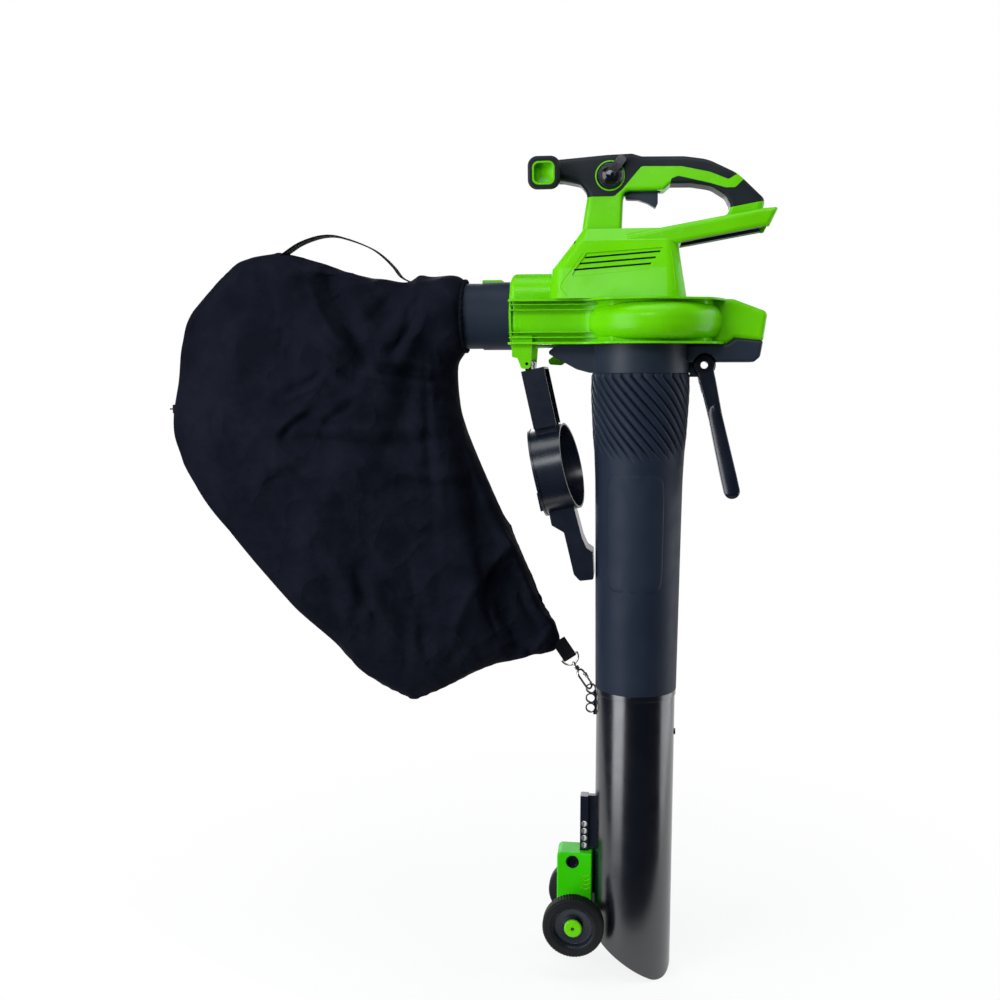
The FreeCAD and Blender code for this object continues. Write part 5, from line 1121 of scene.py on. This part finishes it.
def shade_sheet(side):
    """Thin dark sheet behind the slots, painted shade for their inside: the bay's half width at
    each level, less its wall, corrugated by a fifth of a millimetre every 1.5 mm."""
    x, z = np.meshgrid(np.linspace(-0.112, -0.006, 140), np.linspace(-0.130, -0.088, 24))
    half = np.interp(-z, [0.072, 0.088, 0.122, 0.160], [0.026, 0.038, 0.049, 0.057])
    sheet = stacked(x, side * (half - BAY_WALL + WAVE * np.sin(x * 2 * np.pi / WAVE_PITCH)), z)
    back = sheet - np.array([0.0, side * SHADE_SHEET_THICK, 0.0])
    return np.concatenate([sheet, back[:, ::-1]], 1)


# dark sheets that paint the shade inside the motor's air slots
for label, side in SIDES.items():
    piece("vent_shade_sheet_" + label, shade_sheet(side), fan_plastic, "blower", sharp=60)

DROOP = math.radians(10)
bar_axis = np.array([0.0, -math.cos(DROOP), -math.sin(DROOP)])
core_points = read(nodes["front_grip_core"].data.vertices)
reach = core_points @ bar_axis
mouth = core_points[reach > reach.max() - 0.0006]
mouth_middle = (mouth.min(0) + mouth.max(0)) / 2
print("grip mouth", mouth_middle.round(4), "depth", round(float(np.ptp(reach)), 4))


def grip_floor(half, depth, dish):
    """Dished rounded square across the bar: rings that grow from the middle, which is sunk by the
    dish, and a thin back."""
    a, b = squared(64, 0.45, 0.45)
    out = np.linspace(0.03, 1, 14)
    size = np.concatenate([out, np.linspace(1, 0.03, 14)])
    sunk = np.concatenate([dish * (1 - out ** 2), np.full(14, dish + 0.001)])
    right = np.array([1.0, 0.0, 0.0])
    up = np.cross(right, bar_axis)
    flat = half * size[:, None, None] * (a[None, :, None] * right + b[None, :, None] * up)
    return mouth_middle + flat - bar_axis * (depth + sunk)[:, None, None]


floor_points = grip_floor(half=0.0117, depth=0.011, dish=0.0018)
piece("front_grip_floor", floor_points, green, "blower", sharp=60)

# %% [markdown]
# ## Studio
#
# A round sheet of white paper lies under and behind the object, and the room behind is a white
# sweep.  Both are white to the camera, to gloss and through clear things, while the room in front
# is dim, so that smooth dark plastic keeps its depth.  The paper keeps a share of its lit surface
# near the object, and with it the contact shadow.  Tall softboxes stand at the left front and at
# the right, with a dark gap between them that draws the streaks on the round tubes; a wide one
# hangs in front, above the camera, and weak ones fill from above and from behind.

# %% Studio

FLOOR_Z = low.z - 0.0005
PAPER_X, PAPER_Y, PAPER_R = -0.10, 0.85, 1.05
PAPER_COLUMNS = 96
WHITE = colour("#ffffff")
ring = np.linspace(0.02, 1.0, 24)[:, None] * PAPER_R
turn = whole_turn(PAPER_COLUMNS)
paper = stacked(PAPER_X + ring * np.cos(turn), PAPER_Y + ring * np.sin(turn), FLOOR_Z)
vertices, faces = grid_arrays(paper, caps=False)
faces.append(np.arange(PAPER_COLUMNS).tolist())
paper_mesh = bpy.data.meshes.new("studio_paper")
paper_mesh.from_pydata(vertices.tolist(), [], faces)
paper_mesh.shade_smooth()
paper_material = bpy.data.materials.new("studio paper")
paper_mesh.materials.append(paper_material)

tree = empty_tree(paper_material)
place = add(tree, "TexCoord", out="Object")
from_object = add(tree, "VectorMath", (place, (-0.08, 0.05, FLOOR_Z)), out="Value",
                  operation="DISTANCE")
kept = add(tree, "MapRange", (from_object, 0.25, 0.85, 0.16, 0.0))
tone = add(tree, "Mix", {0: patches(tree, 40, Detail=3.0), 6: colour("#f2f2f2"),
                         7: colour("#f7f7f7")}, **COLOURS)
seen, gloss, through = (add(tree, "LightPath", out=f"Is {way} Ray")
                        for way in ("Camera", "Glossy", "Transmission"))
sight = add(tree, "Math", (seen, gloss), operation="MAXIMUM")
sight = add(tree, "Math", (sight, through), operation="MAXIMUM")
glows = add(tree, "Math", (1.0, kept), operation="SUBTRACT")
glows = add(tree, "Math", (sight, glows), operation="MULTIPLY")
mixed = add(tree, "MixShader", (glows, add(tree, "BsdfDiffuse", [tone]),
                                add(tree, "Emission", (WHITE, 1.0))))
add(tree, "OutputMaterial", [mixed])
floor = placed("studio_paper", paper_mesh)

world = bpy.data.worlds.new("studio")
bpy.context.scene.world = world
tree = empty_tree(world)
direction = add(tree, "TexCoord", out="Generated")
behind = add(tree, "SeparateXYZ", [direction], out="Y")
behind = add(tree, "MapRange", (behind, 0.45, 0.95, 0.0, 1.0))
seen, gloss, through = (add(tree, "LightPath", out=f"Is {way} Ray")
                        for way in ("Camera", "Glossy", "Transmission"))
gloss_sight = add(tree, "Math", (gloss, behind), operation="MULTIPLY")
sight = add(tree, "Math", (seen, through), operation="MAXIMUM")
sight = add(tree, "Math", (sight, gloss_sight), operation="MAXIMUM")
dim = add(tree, "MapRange", (gloss, 0.0, 1.0, 0.20, 0.04))
mixed = add(tree, "MixShader", (sight, add(tree, "Background", (colour("#c4c8d0"), dim)),
                                add(tree, "Background", (WHITE, 1.0))))
add(tree, "OutputWorld", [mixed])

# Name, place, aim, width and height, and power of each softbox
SOFTBOXES = [("left", (-1.80, -1.55, -0.40), (-0.10, 0, -0.55), (1.45, 2.9), 66),
             ("right", (1.98, 0.50, -0.35), (-0.05, 0, -0.60), (1.8, 3.0), 44),
             ("front", (-0.35, -1.95, 0.68), (-0.10, 0, -0.35), (0.9, 0.55), 12),
             ("top", (-0.10, -0.45, 1.55), (-0.10, 0, -0.2), (1.8, 1.0), 20),
             ("back", (-0.90, 2.20, 0.25), (-0.15, 0, -0.50), (1.5, 1.8), 26)]
for name, place, aim, (width, height), power in SOFTBOXES:
    light = put(bpy.data.lights.new("softbox_" + name, "AREA"), shape="RECTANGLE", size=width,
                size_y=height, energy=power, color=(0.94, 0.97, 1.0))
    turned = (Vector(aim) - Vector(place)).to_track_quat("-Z", "Y").to_euler()
    put(placed("softbox_" + name, light), location=place, rotation_euler=turned)
print("studio ready")

# %% [markdown]
# ## Camera and view settings
#
# The camera stands to the near side, level with the collar, and looks a little down and to the
# left.

# %% Camera and view settings

camera_data = put(bpy.data.cameras.new("camera"), sensor_width=36.0, lens=38.34)
camera = put(placed("camera", camera_data), location=(-0.027418, -1.400, -0.252075),
             rotation_euler=(math.radians(90 - 6.8), 0.0, math.radians(7.437)))
bpy.context.scene.camera = camera
bpy.context.scene.view_settings.view_transform = "Standard"
